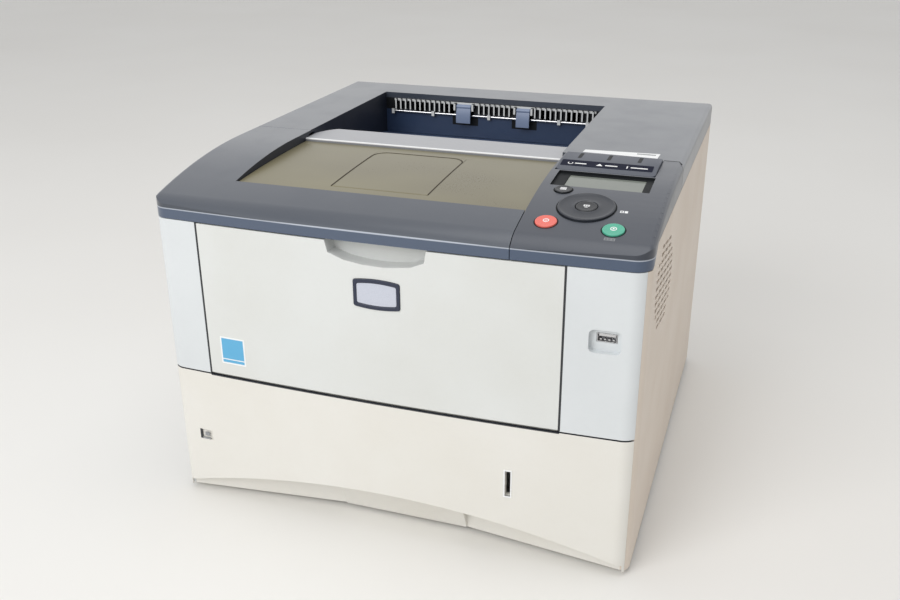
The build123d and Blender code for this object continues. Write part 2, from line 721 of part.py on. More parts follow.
# Right side cover with its oval field of slanted air slots
louvre_y = (front_y + 35.1, front_y + 134.1)
louvre_z = (lip_z - 70.0, lip_z - 2.0)
louvre_rows = 12
louvre_columns = 5
louvre_height = 2.6
louvre_slope = 0.18
louvre_rib = 2.4
louvre_mid = ((louvre_y[0] + louvre_y[1]) / 2, (louvre_z[0] + louvre_z[1]) / 2)
with BuildPart() as right_cover:
    add(shell)
    prism_x(body_zone, (0, far), Mode.INTERSECT)
    slab((0, far), (-far, far), (skirt_z, crown_z), Mode.INTERSECT)
    slab((-1.0, far), (-far, side_front_y), (0, crown_z), Mode.SUBTRACT)
    slab((-1.0, wrap_x), (0, far), (0, crown_z), Mode.SUBTRACT)
    half_field = ((louvre_y[1] - louvre_y[0]) / 2, (louvre_z[1] - louvre_z[0]) / 2)
    with BuildSketch(Plane.YZ.offset(wall_inner - 1.0)) as slots:
        column_pitch = 2 * half_field[0] / louvre_columns
        for row in range(louvre_rows):
            row_z = louvre_z[0] + (row + 0.5) * 2 * half_field[1] / louvre_rows
            reach = half_field[0] * sqrt(1 - ((row_z - louvre_mid[1]) / (half_field[1] * 1.1)) ** 2)
            for column in range(louvre_columns):
                low = max(louvre_y[0] + column * column_pitch, louvre_mid[0] - reach)
                high = min(louvre_y[0] + (column + 1) * column_pitch, louvre_mid[0] + reach) - louvre_rib
                if high - low > 2 * louvre_height:
                    middle = (low + high) / 2
                    slot_z = row_z - louvre_slope * (middle - louvre_mid[0])
                    with Locations(Location((middle, slot_z, 0), (0, 0, -degrees(louvre_slope)))):
                        SlotOverall(high - low, louvre_height)
    extrude(slots.sketch, amount=3 * wall, mode=Mode.SUBTRACT)
    post_spots = ((back_y - 117.4, deck_z + 8.0), (back_y - 117.4, lip_z - 8.0), (front_y + 136.6, 50.0))
    for post_y, post_z in post_spots:
        slab((frame_x + frame_sheet, wall_inner + 0.5), (post_y, post_y + 4.0), (post_z, post_z + 8.0))
write(right_cover, "right_cover")

# Front right cover with the recess for the memory stick socket
usb_recess_x = (right_x - 39.0, right_x - 16.4)
usb_recess_z = (lip_z - 62.0, lip_z - 44.5)
usb_recess_depth = 5.0
usb_x = (usb_recess_x[0] + 5.0, usb_recess_x[0] + 19.0)
usb_z = (usb_recess_z[0] + 7.0, usb_recess_z[0] + 13.4)
usb_face_y = front_y + 8.3
with BuildPart() as front_right_cover:
    add(shell)
    prism_x(body_zone, (0, far), Mode.INTERSECT)
    slab(
        (tray_right_x + tray_gap / 2, far),
        (-far, side_front_y - fixed_gap),
        (tray_bottom_z, crown_z),
        Mode.INTERSECT,
    )
    slab(
        (tray_right_x + tray_gap / 2, tray_right_x + tray_gap / 2 + wall),
        (front_y + flange_start, flange_back_y),
        (tray_bottom_z, lip_z - cover_gap),
    )
    bearing_x = (tray_right_x, tray_right_x + 2 * wall)
    rod(bearing_x, tray_hinge_y, tray_hinge_z, tray_pin_radius + pin_gap, Mode.SUBTRACT)
    slab(
        (usb_recess_x[0] - 2, usb_recess_x[1] + 2),
        (front_y + 5.0, usb_face_y + 2.0),
        (usb_recess_z[0] - 2, usb_recess_z[1] + 2),
    )
    with BuildSketch(Plane.XZ.offset(-usb_face_y)) as recess:
        with Locations(((usb_recess_x[0] + usb_recess_x[1]) / 2, (usb_recess_z[0] + usb_recess_z[1]) / 2)):
            RectangleRounded(usb_recess_x[1] - usb_recess_x[0], usb_recess_z[1] - usb_recess_z[0], 4.0)
    extrude(recess.sketch, amount=4 * usb_recess_depth, mode=Mode.SUBTRACT)
    slab(
        (usb_x[0] - fixed_gap, usb_x[1] + fixed_gap),
        (front_y, flange_back_y),
        (usb_z[0] - fixed_gap, usb_z[1] + fixed_gap),
        Mode.SUBTRACT,
    )
    add(solid_casing, mode=Mode.INTERSECT)
write(front_right_cover, "front_right_cover")

# Memory stick socket: sheet metal shell round a plastic tongue
with BuildPart() as usb_socket:
    slab(usb_x, (usb_face_y, usb_face_y + 12.0), usb_z)
    slab(
        (usb_x[0] + 0.5, usb_x[1] - 0.5),
        (usb_face_y - 1, usb_face_y + 11.0),
        (usb_z[0] + 0.5, usb_z[1] - 0.5),
        Mode.SUBTRACT,
    )
    tongue_x = (usb_x[0] + 1.2, usb_x[1] - 1.2)
    slab(tongue_x, (usb_face_y + 1, usb_face_y + 11.5), (usb_z[1] - 2.6, usb_z[1] - 0.9))
write(usb_socket, "usb_socket")

# Front tray: bowed outer panel with side walls, hinge pins and the grip notch
notch_shape = [(-43.6, 1.0), (-40.8, -10.2), (-28.5, -14.6), (-13.6, -16.6)]
notch_shape += [(3.8, -17.0), (22.9, -14.7), (33.6, -10.2), (35.6, 1.0)]
notch_points = [(x, lip_z + rise) for x, rise in notch_shape]
scoop_depth = 13.0
scoop_wall = 2.0
badge_x = (-21.5, 15.0)
badge_z = (lip_z - 49.0, lip_z - 28.5)
badge_bulge = 1.6
badge_thick = 1.8
tray_x = (tray_left_x + tray_gap / 2, tray_right_x - tray_gap / 2)
tray_wall_back_y = front_y + 14.1
tray_round = 2.5
tray_top_z = lip_z - tray_gap


def badge_outline(grow, y):
    """Badge shape with bulging top and bottom edges, on the plane at y."""
    left, right = badge_x[0] - grow, badge_x[1] + grow
    low, high = badge_z[0] - grow, badge_z[1] + grow
    middle = (left + right) / 2
    with BuildSketch(Plane.XZ.offset(-y)) as face:
        with BuildLine():
            ThreePointArc((left, high), (middle, high + badge_bulge), (right, high))
            Line((right, high), (right, low))
            ThreePointArc((right, low), (middle, low - badge_bulge), (left, low))
            Line((left, low), (left, high))
        make_face()
        fillet(face.vertices(), 2.0)
    return face.sketch


badge_back_y = front_y + badge_thick - badge_proud
plate_x = (tray_left_x + 23.7, tray_right_x - 22.2)
plate_y = (front_y + 12.0, front_y + 14.0)
plate_z = (tray_bottom_z + 16.6, lip_z - 22.0)
guide_slot_z = (plate_z[0] + 42.0, plate_z[0] + 48.0)
mp_guide_thick = 3.0
mp_guide_x = (plate_x[1] - plate_x[0]) / 2 - 14.0
mp_centre_x = (plate_x[0] + plate_x[1]) / 2
with BuildPart() as mp_tray:
    add(shell)
    prism_x(body_zone, tray_x, Mode.INTERSECT)
    slab(tray_x, (-far, tray_wall_back_y), (tray_bottom_z, tray_top_z), Mode.INTERSECT)
    for side_x in ((tray_x[0], tray_x[0] + wall), (tray_x[1] - wall, tray_x[1])):
        slab(side_x, (front_y + 4.5, tray_wall_back_y), (tray_bottom_z + 2.0, tray_top_z))
        rod(side_x, tray_hinge_y, tray_hinge_z, tray_lug_radius)
    slab(tray_x, (front_y + wall / 2, front_y + 7.0), (tray_bottom_z + 0.3, tray_bottom_z + 3.0))
    slab(
        (notch_points[0][0] - scoop_wall, notch_points[-1][0] + scoop_wall),
        (front_y + 1.0, front_y + scoop_depth + scoop_wall),
        (notch_points[4][1] - scoop_wall, tray_top_z),
    )
    prism_y(notch_points, (front_y - 1.0, front_y + scoop_depth), Mode.SUBTRACT)
    extrude(badge_outline(0.2, badge_back_y), amount=badge_thick, mode=Mode.SUBTRACT)
    slab(plate_x, plate_y, plate_z)
    slab((plate_x[0] + 4, plate_x[1] - 4), (plate_y[0] - 1, plate_y[1] + 1), guide_slot_z, Mode.SUBTRACT)
    slab((mp_centre_x - 2, mp_centre_x + 2), plate_y, guide_slot_z)
    for low_z in (plate_z[0] + 2, plate_z[1] - 12):
        for low_x in (plate_x[0] + 10, plate_x[1] - 20):
            slab((low_x, low_x + 10), (front_y + 1.0, plate_y[0]), (low_z, low_z + 10))
    add(solid_casing, mode=Mode.INTERSECT)
    lower_edge = mp_tray.edges().filter_by(lambda e: abs(e.center().Z - tray_bottom_z) < 0.01)
    chamfer(lower_edge.sort_by(Axis.Y)[:1], tray_round / 2)
    rod((tray_x[0] - wall, tray_x[0]), tray_hinge_y, tray_hinge_z, tray_pin_radius)
    rod((tray_x[1], tray_x[1] + wall), tray_hinge_y, tray_hinge_z, tray_pin_radius)
write(mp_tray, "mp_tray")

# Bare badge: raised frame round a plain plate
plate_inset = 2.6
with BuildPart() as badge:
    extrude(badge_outline(0, badge_back_y), amount=badge_thick)
    extrude(badge_outline(-plate_inset, badge_back_y - 1.2), amount=badge_thick, mode=Mode.SUBTRACT)
write(badge, "badge")

# Paper guides inside the front tray, sliding in the slot of its paper plate
for node, side in (("mp_guide_left", -1), ("mp_guide_right", 1)):
    inner = mp_centre_x + side * mp_guide_x
    fence = sorted((inner, inner + side * mp_guide_thick))
    foot = sorted((inner + side * mp_guide_thick, inner - side * 9.0))
    with BuildPart() as mp_guide:
        slab(fence, (plate_y[1] + slide_gap, plate_y[1] + 5.5), (plate_z[0] + 14.0, plate_z[1] - 12.0))
        slab(foot, (plate_y[1] + slide_gap, plate_y[1] + 1.6), (guide_slot_z[0] - 6.0, guide_slot_z[1] + 6.0))
        tongue_z = (guide_slot_z[0] + slide_gap, guide_slot_z[1] - slide_gap)
        slab(foot, (plate_y[0] - 1.5, plate_y[1] + 0.6), tongue_z)
    write(mp_guide, node)

# Cassette front with its low arch, the two grips and the middle block
cassette_back_y = tub_front_y
block_x = (-47.0, 58.0)
grip_back_corner_y = front_y + 9.6
grip_back_block_y = front_y + 24.6
front_bottom_z = 4.0
block_top = (front_y + 1.0, arch_side_z + arch_rise + 2.0)
block_foot_y = grip_back_block_y - 1.0
block_back_y = cassette_back_y - 1.0
gauge_x = (95.4, 99.7)
gauge_z = (57.0, 79.0)
mark_x = (left_x + 21.0, left_x + 33.0)
mark_z = (55.0, 64.0)
cassette_skin = 2.6
with BuildPart() as cassette_front:
    extrude(plan(0, front_bottom_z), amount=cassette_top_z - front_bottom_z)
    slab((-far, far), (-far, side_front_y - fixed_gap), (0, crown_z), Mode.INTERSECT)
    with BuildPart(mode=Mode.PRIVATE) as rear_half:
        extrude(plan(wall + fixed_gap, front_bottom_z), amount=cassette_top_z - front_bottom_z)
        slab((-far, far), (-far, cassette_back_y), (0, crown_z), Mode.INTERSECT)
    add(rear_half)
    with BuildPart(mode=Mode.PRIVATE) as front_hollow:
        extrude(plan(wall + fixed_gap + cassette_skin, 45.0), amount=cassette_top_z - cassette_skin - 45.0)
    add(front_hollow, mode=Mode.SUBTRACT)
    with BuildPart(mode=Mode.PRIVATE) as top_relief:
        extrude(plan(1.8, cassette_top_z - 1.6), amount=wall)
    add(top_relief, mode=Mode.SUBTRACT)
    with BuildPart(mode=Mode.PRIVATE) as below_arch:
        with BuildSketch(Plane.XZ.offset(-cassette_back_y)):
            with BuildLine():
                arch_left, arch_right = (-arch_half, arch_side_z), (arch_half, arch_side_z)
                ThreePointArc(arch_left, (0, arch_side_z + arch_rise), arch_right)
                Polyline(arch_right, (arch_half, 0), (-arch_half, 0), arch_left)
            make_face()
        extrude(amount=far)
        prism_z(
            [
                (-arch_half, -far),
                (-arch_half, grip_back_corner_y),
                (block_x[0], grip_back_block_y),
                (block_x[1], grip_back_block_y),
                (arch_half, grip_back_corner_y),
                (arch_half, -far),
            ],
            (0, crown_z),
            Mode.INTERSECT,
        )
    with BuildPart(mode=Mode.PRIVATE) as middle_block:
        with BuildSketch(Plane.YZ.offset(block_x[0])):
            with BuildLine():
                ThreePointArc(block_top, (front_y + 15.6, 22.0), (block_foot_y, front_bottom_z))
                Line((block_foot_y, front_bottom_z), (block_back_y, front_bottom_z))
                Line((block_back_y, front_bottom_z), (block_back_y, block_top[1]))
                Line((block_back_y, block_top[1]), block_top)
            make_face()
        extrude(amount=block_x[1] - block_x[0])
    add(below_arch, mode=Mode.SUBTRACT)
    add(middle_block)
    slab(gauge_x, (-far, 0), gauge_z, Mode.SUBTRACT)
    slab(mark_x, (-far, front_y + front_bow + 0.3), mark_z, Mode.SUBTRACT)
write(cassette_front, "cassette_front")

# Cassette tub, open at the top, with a runner along each side
fence_inner_x = 105.5
lift_axis = (tub_front_y + 186.0, 23.0)
lift_pin_radius = 2.0
lift_ear_x = (71.0, 75.0)
rack_axis = (0.0, lift_axis[0] + 25.0)
pinion_stud_radius = 2.0
with BuildPart() as cassette_tub:
    slab((-tub_half, tub_half), (tub_front_y, tub_back_y), (tub_floor_z, tub_rim_z))
    slab(
        (-tub_half + wall, tub_half - wall),
        (tub_front_y + wall, tub_back_y - wall),
        (tub_floor_z + wall, crown_z),
        Mode.SUBTRACT,
    )
    for side in (-1, 1):
        runner = sorted((side * tub_half, side * (tub_half + runner_depth)))
        slab(runner, (tub_front_y + 16.0, tub_back_y), (runner_z, runner_z + 5.0))
        ear = sorted((side * lift_ear_x[0], side * lift_ear_x[1]))
        slab(ear, (lift_axis[0] - 5, lift_axis[0] + 5), (tub_floor_z + wall, lift_axis[1] + 5))
        rod((ear[0] - 1, ear[1] + 1), *lift_axis, lift_pin_radius + pin_gap, Mode.SUBTRACT)
    post(*rack_axis, (tub_floor_z, tub_floor_z + wall + 3.2), pinion_stud_radius)
write(cassette_tub, "cassette_tub")

# Lift plate that raises the paper stack, hinged at its rear edge
lift_half = 102.0
lift_neck = 70.0
lift_front_y = tub_front_y + 8.0
lift_step_y = tub_front_y + 78.0
with BuildPart() as lift_plate:
    prism_z(
        [
            (-lift_half, lift_front_y),
            (lift_half, lift_front_y),
            (lift_half, lift_step_y),
            (lift_neck, lift_step_y),
            (lift_neck, lift_axis[0]),
            (-lift_neck, lift_axis[0]),
            (-lift_neck, lift_step_y),
            (-lift_half, lift_step_y),
        ],
        (lift_axis[1] - 1.0, lift_axis[1] + 1.0),
    )
    rod((-lift_ear_x[0] - 3.5, lift_ear_x[0] + 3.5), *lift_axis, lift_pin_radius)
write(lift_plate, "lift_plate")


def gear_face(teeth, module, plane, bore):
    """Spur gear with involute-like flanks, each flank one arc, thinned a little for backlash."""
    pitch = module * teeth / 2
    tip = pitch + 0.9 * module
    root = pitch - 1.2 * module
    slack = 0.12 * module / pitch
    half_pitch = pi / (2 * teeth) - slack
    spread = 0.9 * module * tan(radians(20)) / pitch
    flank = [(root, spread), (pitch, 0.0), (tip, -spread * 1.15)]
    with BuildSketch(plane) as face:
        with BuildLine():
            for tooth in range(teeth):
                turn = 2 * pi * tooth / teeth
                right = [(r * cos(turn - half_pitch - s), r * sin(turn - half_pitch - s)) for r, s in flank]
                left = [(r * cos(turn + half_pitch + s), r * sin(turn + half_pitch + s)) for r, s in flank]
                next_turn = turn + 2 * pi / teeth - half_pitch - spread
                ThreePointArc(*right)
                Line(right[2], left[2])
                ThreePointArc(*left)
                Line(left[0], (root * cos(next_turn), root * sin(next_turn)))
        make_face()
        if bore:
            Circle(bore, mode=Mode.SUBTRACT)
    return face.sketch


# Width guides of the cassette on two racks, driven together by a pinion
rack_module = 1.0
rack_teeth = 14
rack_z = (tub_floor_z + wall + 0.3, tub_floor_z + wall + 3.3)
rack_pitch = rack_module * rack_teeth / 2
guide_y_range = (rack_axis[1] - 123.0, rack_axis[1] + 17.0)
rack_end = 28.0
rack_depth = 4.0


def rack_outline(side):
    """Plan of one rack: a straight bar with teeth on the side of the pinion."""
    step = pi * rack_module
    root_y = rack_pitch + 1.2 * rack_module
    tip_y = rack_pitch - 0.9 * rack_module
    half_root = step / 4 + 1.2 * rack_module * tan(radians(20)) - 0.12
    half_tip = step / 4 - 0.9 * rack_module * tan(radians(20)) - 0.12
    points = [(-rack_end, root_y + rack_depth), (-rack_end, root_y)]
    for tooth in range(round(-rack_end / step) + 1, round(fence_inner_x / step)):
        centre = (tooth + 0.5) * step
        points += [(centre - half_root, root_y), (centre - half_tip, tip_y)]
        points += [(centre + half_tip, tip_y), (centre + half_root, root_y)]
    points += [(fence_inner_x + 1.0, root_y), (fence_inner_x + 1.0, root_y + rack_depth)]
    return [(side * x, rack_axis[1] + side * y) for x, y in points]


for node, side in (("width_guide_left", -1), ("width_guide_right", 1)):
    fence = sorted((side * fence_inner_x, side * (fence_inner_x + 2.5)))
    with BuildPart() as width_guide:
        slab(fence, guide_y_range, (rack_z[0], tub_rim_z - 8.0))
        prism_z(rack_outline(side), rack_z)
    write(width_guide, node)
with BuildPart() as guide_pinion:
    pinion_plane = Plane(origin=(*rack_axis, rack_z[0]), x_dir=(0, 1, 0), z_dir=(0, 0, 1))
    extrude(gear_face(rack_teeth, rack_module, pinion_plane, pinion_stud_radius + pin_gap), amount=3.0)
write(guide_pinion, "guide_pinion")

# Length guide, which slides forward behind shorter paper
with BuildPart() as length_guide:
    slab((-24.0, 24.0), (tub_back_y - 15.5, tub_back_y - 12.5), (rack_z[0], tub_rim_z - 7.0))
    slab((-12.0, 12.0), (tub_back_y - 26.0, tub_back_y - 4.0), (rack_z[0], rack_z[0] + 2.5))
write(length_guide, "length_guide")

# Base frame: side beams, cassette ledges, rear beam and the deck above the cassette
beam_x = (bay_half, frame_x)
beam_front_y = tub_front_y + 6.0
beam_back_y = back_y - 9.4
foot_flange_x = (bay_half - 4.0, right_x - 5.0)
foot_x = right_x - 15.0
foot_y = (front_y + 51.6, back_y - 32.4)
foot_radius = 9.0
inner_frame_y = (front_y + 21.1, front_y + 24.1)
frame_front_y = inner_frame_y[1]
foot_top_z = 8.0
pickup_axis = (tub_front_y + 36.0, deck_z - 23.0)
inlet_x = (14.0 - wrap_x, 42.0 - wrap_x)
inlet_z = (58.0, 80.0)
switch_x = (60.0 - wrap_x, 74.0 - wrap_x)
switch_z = inlet_z
pickup_shaft_radius = 4.0
pickup_radius = 13.0
pickup_half = 20.0
with BuildPart() as base_frame:
    for side in (-1, 1):
        beam = sorted((side * beam_x[0], side * beam_x[1]))
        slab(beam, (beam_front_y, beam_back_y), (foot_top_z, deck_z))
        flange = sorted((side * foot_flange_x[0], side * foot_flange_x[1]))
        slab(flange, (beam_front_y, beam_back_y), (foot_top_z, foot_top_z + 3.0))
        ledge = sorted((side * (tub_half + runner_gap), side * beam_x[0]))
        slab(ledge, (beam_front_y, tub_back_y), (runner_z - slide_gap - 3.0, runner_z - slide_gap))
    slab((-frame_x, frame_x), (beam_back_y - 3.0, beam_back_y), (foot_top_z, deck_z))
    slab((-frame_x, frame_x), (inner_frame_y[0], beam_back_y), (deck_z - deck_sheet, deck_z))
    slab((-frame_x, frame_x), inner_frame_y, (deck_z - deck_sheet, lip_z - 3.0))
    feed_slot_x = (plate_x[0] + 12.0, plate_x[1] - 12.0)
    slab(feed_slot_x, (-far, frame_front_y + 1.0), (deck_z + 10.0, deck_z + 28.0), Mode.SUBTRACT)
    for low, high in (inlet_x, switch_x):
        window_x = (low - 3.0, high + 3.0)
        slab(window_x, (beam_back_y - 4.0, far), (inlet_z[0] - 3.0, inlet_z[1] + 3.0), Mode.SUBTRACT)
    paper_gap_y = (frame_front_y + 8.0, pickup_axis[0] - 10.0)
    slab((-fence_inner_x, fence_inner_x), paper_gap_y, (deck_z - far, deck_z + 1.0), Mode.SUBTRACT)
    rod((-far, far), *pickup_axis, pickup_shaft_radius + pin_gap, Mode.SUBTRACT)
    pickup_y = (pickup_axis[0] - pickup_radius - 3.0, pickup_axis[0] + pickup_radius + 3.0)
    slab((-pickup_half - 4.0, pickup_half + 4.0), pickup_y, (deck_z - deck_sheet, deck_z), Mode.SUBTRACT)
write(base_frame, "base_frame")
with BuildPart() as feet:
    with Locations(*[(x, y, foot_top_z / 2) for x in (-foot_x, foot_x) for y in foot_y]):
        Cylinder(foot_radius, foot_top_z)
write(feet, "rubber_feet")

# Pickup roller over the front of the paper stack
with BuildPart() as pickup_roller:
    rod((-frame_x - 2.0, frame_x + 2.0), *pickup_axis, pickup_shaft_radius)
    rod((-pickup_half, pickup_half), *pickup_axis, pickup_radius)
write(pickup_roller, "pickup_roller")

# Shafts of the engine: (y, z), then the radius of the shaft and of the roller
drum_axis = (front_y + 156.6, deck_z + 38.0)
drum_radius = 15.0
transfer_radius = 8.0
roller_gap = 0.3
transfer_axis = (drum_axis[0], drum_axis[1] - drum_radius - roller_gap - transfer_radius)
feed_axis = (tub_front_y + 48.0, deck_z + 24.0)
feed_radius = 7.0
roller_shaft_radius = 3.0
drum_shaft_radius = 4.0
shafts = [
    (drum_axis, drum_shaft_radius),
    (transfer_axis, roller_shaft_radius),
    (feed_axis, roller_shaft_radius),
    (exit_axis, exit_shaft_radius),
]
gear_module = 1.0
drum_teeth = 48
pinion_teeth = 16
train_angle = radians(-10)
train_pitch = gear_module * (drum_teeth + pinion_teeth) / 2
pinion_axis = (drum_axis[0] + train_pitch * cos(train_angle), drum_axis[1] + train_pitch * sin(train_angle))
motor_shaft_radius = 2.5
gear_x = (frame_x + frame_sheet + 2.0, frame_x + frame_sheet + 9.0)
fan_axis = louvre_mid
fan_half = 30.0
fan_hole = 28.0
frame_outline = [
    (frame_front_y, deck_z),
    (back_y - 11.4, deck_z),
    (back_y - 11.4, frame_top_z),
    (well_back_y - 62.5, frame_top_z),
    (well_back_y - 82.5, frame_top_z - 12.0),
    (frame_front_y, frame_top_z - 12.0),
]
for node, side in (("left_side_frame", -1), ("right_side_frame", 1)):
    sheet_x = sorted((side * frame_x, side * (frame_x + frame_sheet)))
    with BuildPart() as side_frame:
        prism_x(frame_outline, sheet_x)
        for axis, radius in shafts:
            rod((sheet_x[0] - 1, sheet_x[1] + 1), *axis, radius + pin_gap, Mode.SUBTRACT)
        if side > 0:
            rod((sheet_x[0] - 1, sheet_x[1] + 1), *pinion_axis, motor_shaft_radius + pin_gap, Mode.SUBTRACT)
            rod((sheet_x[0] - 1, sheet_x[1] + 1), *fan_axis, fan_hole - 2.0, Mode.SUBTRACT)
    write(side_frame, node)

# Drum with its gear, transfer roller and feed roller
roller_half = frame_x - 52.0
with BuildPart() as drum:
    rod((-shaft_reach, gear_x[1] + 1.0), *drum_axis, drum_shaft_radius)
    rod((-roller_half, roller_half), *drum_axis, drum_radius)
    gear_sketch = gear_face(drum_teeth, gear_module, Plane.XY, 0)
    drum_turn = degrees(train_angle)
    place = Plane.YZ * Pos(*drum_axis, gear_x[0]) * Rot(0, 0, drum_turn)
    extrude(place * gear_sketch, amount=gear_x[1] - gear_x[0])
write(drum, "drum")
with BuildPart() as transfer_roller:
    rod((-shaft_reach, shaft_reach), *transfer_axis, roller_shaft_radius)
    rod((-roller_half, roller_half), *transfer_axis, transfer_radius)
write(transfer_roller, "transfer_roller")
with BuildPart() as feed_roller:
    rod((-shaft_reach, shaft_reach), *feed_axis, roller_shaft_radius)
    rod((-roller_half, roller_half), *feed_axis, feed_radius)
write(feed_roller, "feed_roller")
# Motor pinion in mesh with the gear of the drum
pinion_turn = degrees(train_angle) + 180.0 + 180.0 / pinion_teeth
with BuildPart() as motor_pinion:
    gear_sketch = gear_face(pinion_teeth, gear_module, Plane.XY, 0)
    place = Plane.YZ * Pos(*pinion_axis, gear_x[0]) * Rot(0, 0, pinion_turn)
    extrude(place * gear_sketch, amount=gear_x[1] - gear_x[0])
    rod((frame_x - 6.0, gear_x[1] + 1.0), *pinion_axis, motor_shaft_radius)
write(motor_pinion, "motor_pinion")
with BuildPart() as main_motor:
    rod((frame_x - 28.0, frame_x), *pinion_axis, 20.0)
    rod((frame_x - 2.0, frame_x), *pinion_axis, 24.0)
    rod((frame_x - 8.0, frame_x + 1.0), *pinion_axis, motor_shaft_radius + pin_gap, Mode.SUBTRACT)
write(main_motor, "main_motor")

# Cooling fan behind the air slots
blade_count = 7
fan_x = (frame_x + frame_sheet, frame_x + frame_sheet + 12.0)
with BuildPart() as fan_frame:
    slab(fan_x, *[(middle - fan_half, middle + fan_half) for middle in fan_axis])
    rod((fan_x[0] - 1, fan_x[1] + 1), *fan_axis, fan_hole, Mode.SUBTRACT)
    rod((fan_x[0], fan_x[0] + 2.5), *fan_axis, 9.0)
    rod((fan_x[0], fan_x[1] - 2.0), *fan_axis, 1.5)
    spoke_x = (fan_x[0], fan_x[0] + 2.0)
    long_y, long_z = [(middle - fan_hole - 1, middle + fan_hole + 1) for middle in fan_axis]
    short_y, short_z = [(middle - 2.0, middle + 2.0) for middle in fan_axis]
    slab(spoke_x, long_y, short_z)
    slab(spoke_x, short_y, long_z)
write(fan_frame, "fan_frame")
with BuildPart() as fan_rotor:
    with BuildSketch(Plane.YZ.offset(fan_x[0] + 4.0)) as hub:
        with Locations(fan_axis):
            Circle(10.0)
    extrude(amount=7.0)
    for blade in range(blade_count):
        spin = 360.0 * blade / blade_count
        place = Plane.YZ * Pos(*fan_axis, fan_x[0] + 7.5) * Rot(0, 0, spin) * Pos(17.5, 0, 0) * Rot(28, 0, 0)
        add(place * Box(17.0, 9.0, 1.2, mode=Mode.PRIVATE))
    rod((fan_x[0], fan_x[1]), *fan_axis, 1.5 + pin_gap, Mode.SUBTRACT)
write(fan_rotor, "fan_rotor")

# Developer unit in front of the drum, and the toner container on top of it
unit_half = frame_x - fixed_gap
developer_top_z = drum_axis[1] + 38.0
developer_shape = [(-110, 16), (-60, 12), (-34, -18), (-20, -12), (-18.5, 16)]
developer_shape += [(18, 24), (18, 32), (-30, 38), (-110, 38)]
with BuildPart() as developer_unit:
    prism_x([(drum_axis[0] + y, drum_axis[1] + z) for y, z in developer_shape], (-unit_half, unit_half))
write(developer_unit, "developer_unit")
toner_x = (20.0 - frame_x, frame_x - 86.0)
toner_y = (drum_axis[0] - 108.0, drum_axis[0] - 36.0)
toner_top_z = shelf_z - 13.0
with BuildPart() as toner_container:
    slab(toner_x, toner_y, (developer_top_z, toner_top_z))
    fillet(toner_container.edges().filter_by(Axis.X).group_by(Axis.Z)[-1], 12.0)
    slab((-50.0, 0.0), (toner_y[0] + 28.0, toner_y[0] + 44.0), (toner_top_z, toner_top_z + 6.0))
write(toner_container, "toner_container")

# Laser scanner on the plate that carries it between the side frames
cross_z = (deck_z + 72.5, deck_z + 74.5)
scanner_y = (drum_axis[0] + 32.0, drum_axis[0] + 136.0)
scanner_top_z = cross_z[1] + 31.5
with BuildPart() as laser_scanner:
    slab((-112.0, 112.0), scanner_y, (cross_z[0], scanner_top_z))
    fillet(laser_scanner.edges().filter_by(Axis.Z), 10.0)
    slab((-frame_x, frame_x), (scanner_y[0] - 4.0, scanner_y[1] + 4.0), cross_z)
    post(20.0, scanner_y[0] + 58.0, (scanner_top_z - 1.0, scanner_top_z + 5.0), 26.0)
write(laser_scanner, "laser_scanner")

# Fuser: frame with a heated roller over a pressure roller
heat_axis = (back_y - 65.4, deck_z + 50.0)
fuser_radius = 14.0
press_axis = (heat_axis[0], heat_axis[1] - 2 * fuser_radius - roller_gap)
fuser_shaft_radius = 5.0
fuser_plate_x = (frame_x - 34.0, frame_x - 30.0)
fuser_y = (heat_axis[0] - 22.0, heat_axis[0] + 24.0)
fuser_top_z = cross_z[0] - 1.5
with BuildPart() as fuser_frame:
    for side in (-1, 1):
        plate = sorted((side * fuser_plate_x[0], side * fuser_plate_x[1]))
        slab(plate, fuser_y, (deck_z, fuser_top_z))
        for axis in (heat_axis, press_axis):
            rod((plate[0] - 1, plate[1] + 1), *axis, fuser_shaft_radius + pin_gap, Mode.SUBTRACT)
    slab((-fuser_plate_x[1], fuser_plate_x[1]), fuser_y, (fuser_top_z - 4.0, fuser_top_z))
write(fuser_frame, "fuser_frame")
for node, axis in (("heat_roller", heat_axis), ("pressure_roller", press_axis)):
    with BuildPart() as fuser_roller:
        rod((-fuser_plate_x[1] - 4.0, fuser_plate_x[1] + 4.0), *axis, fuser_shaft_radius)
        rod((-roller_half, roller_half), *axis, fuser_radius)
    write(fuser_roller, node)

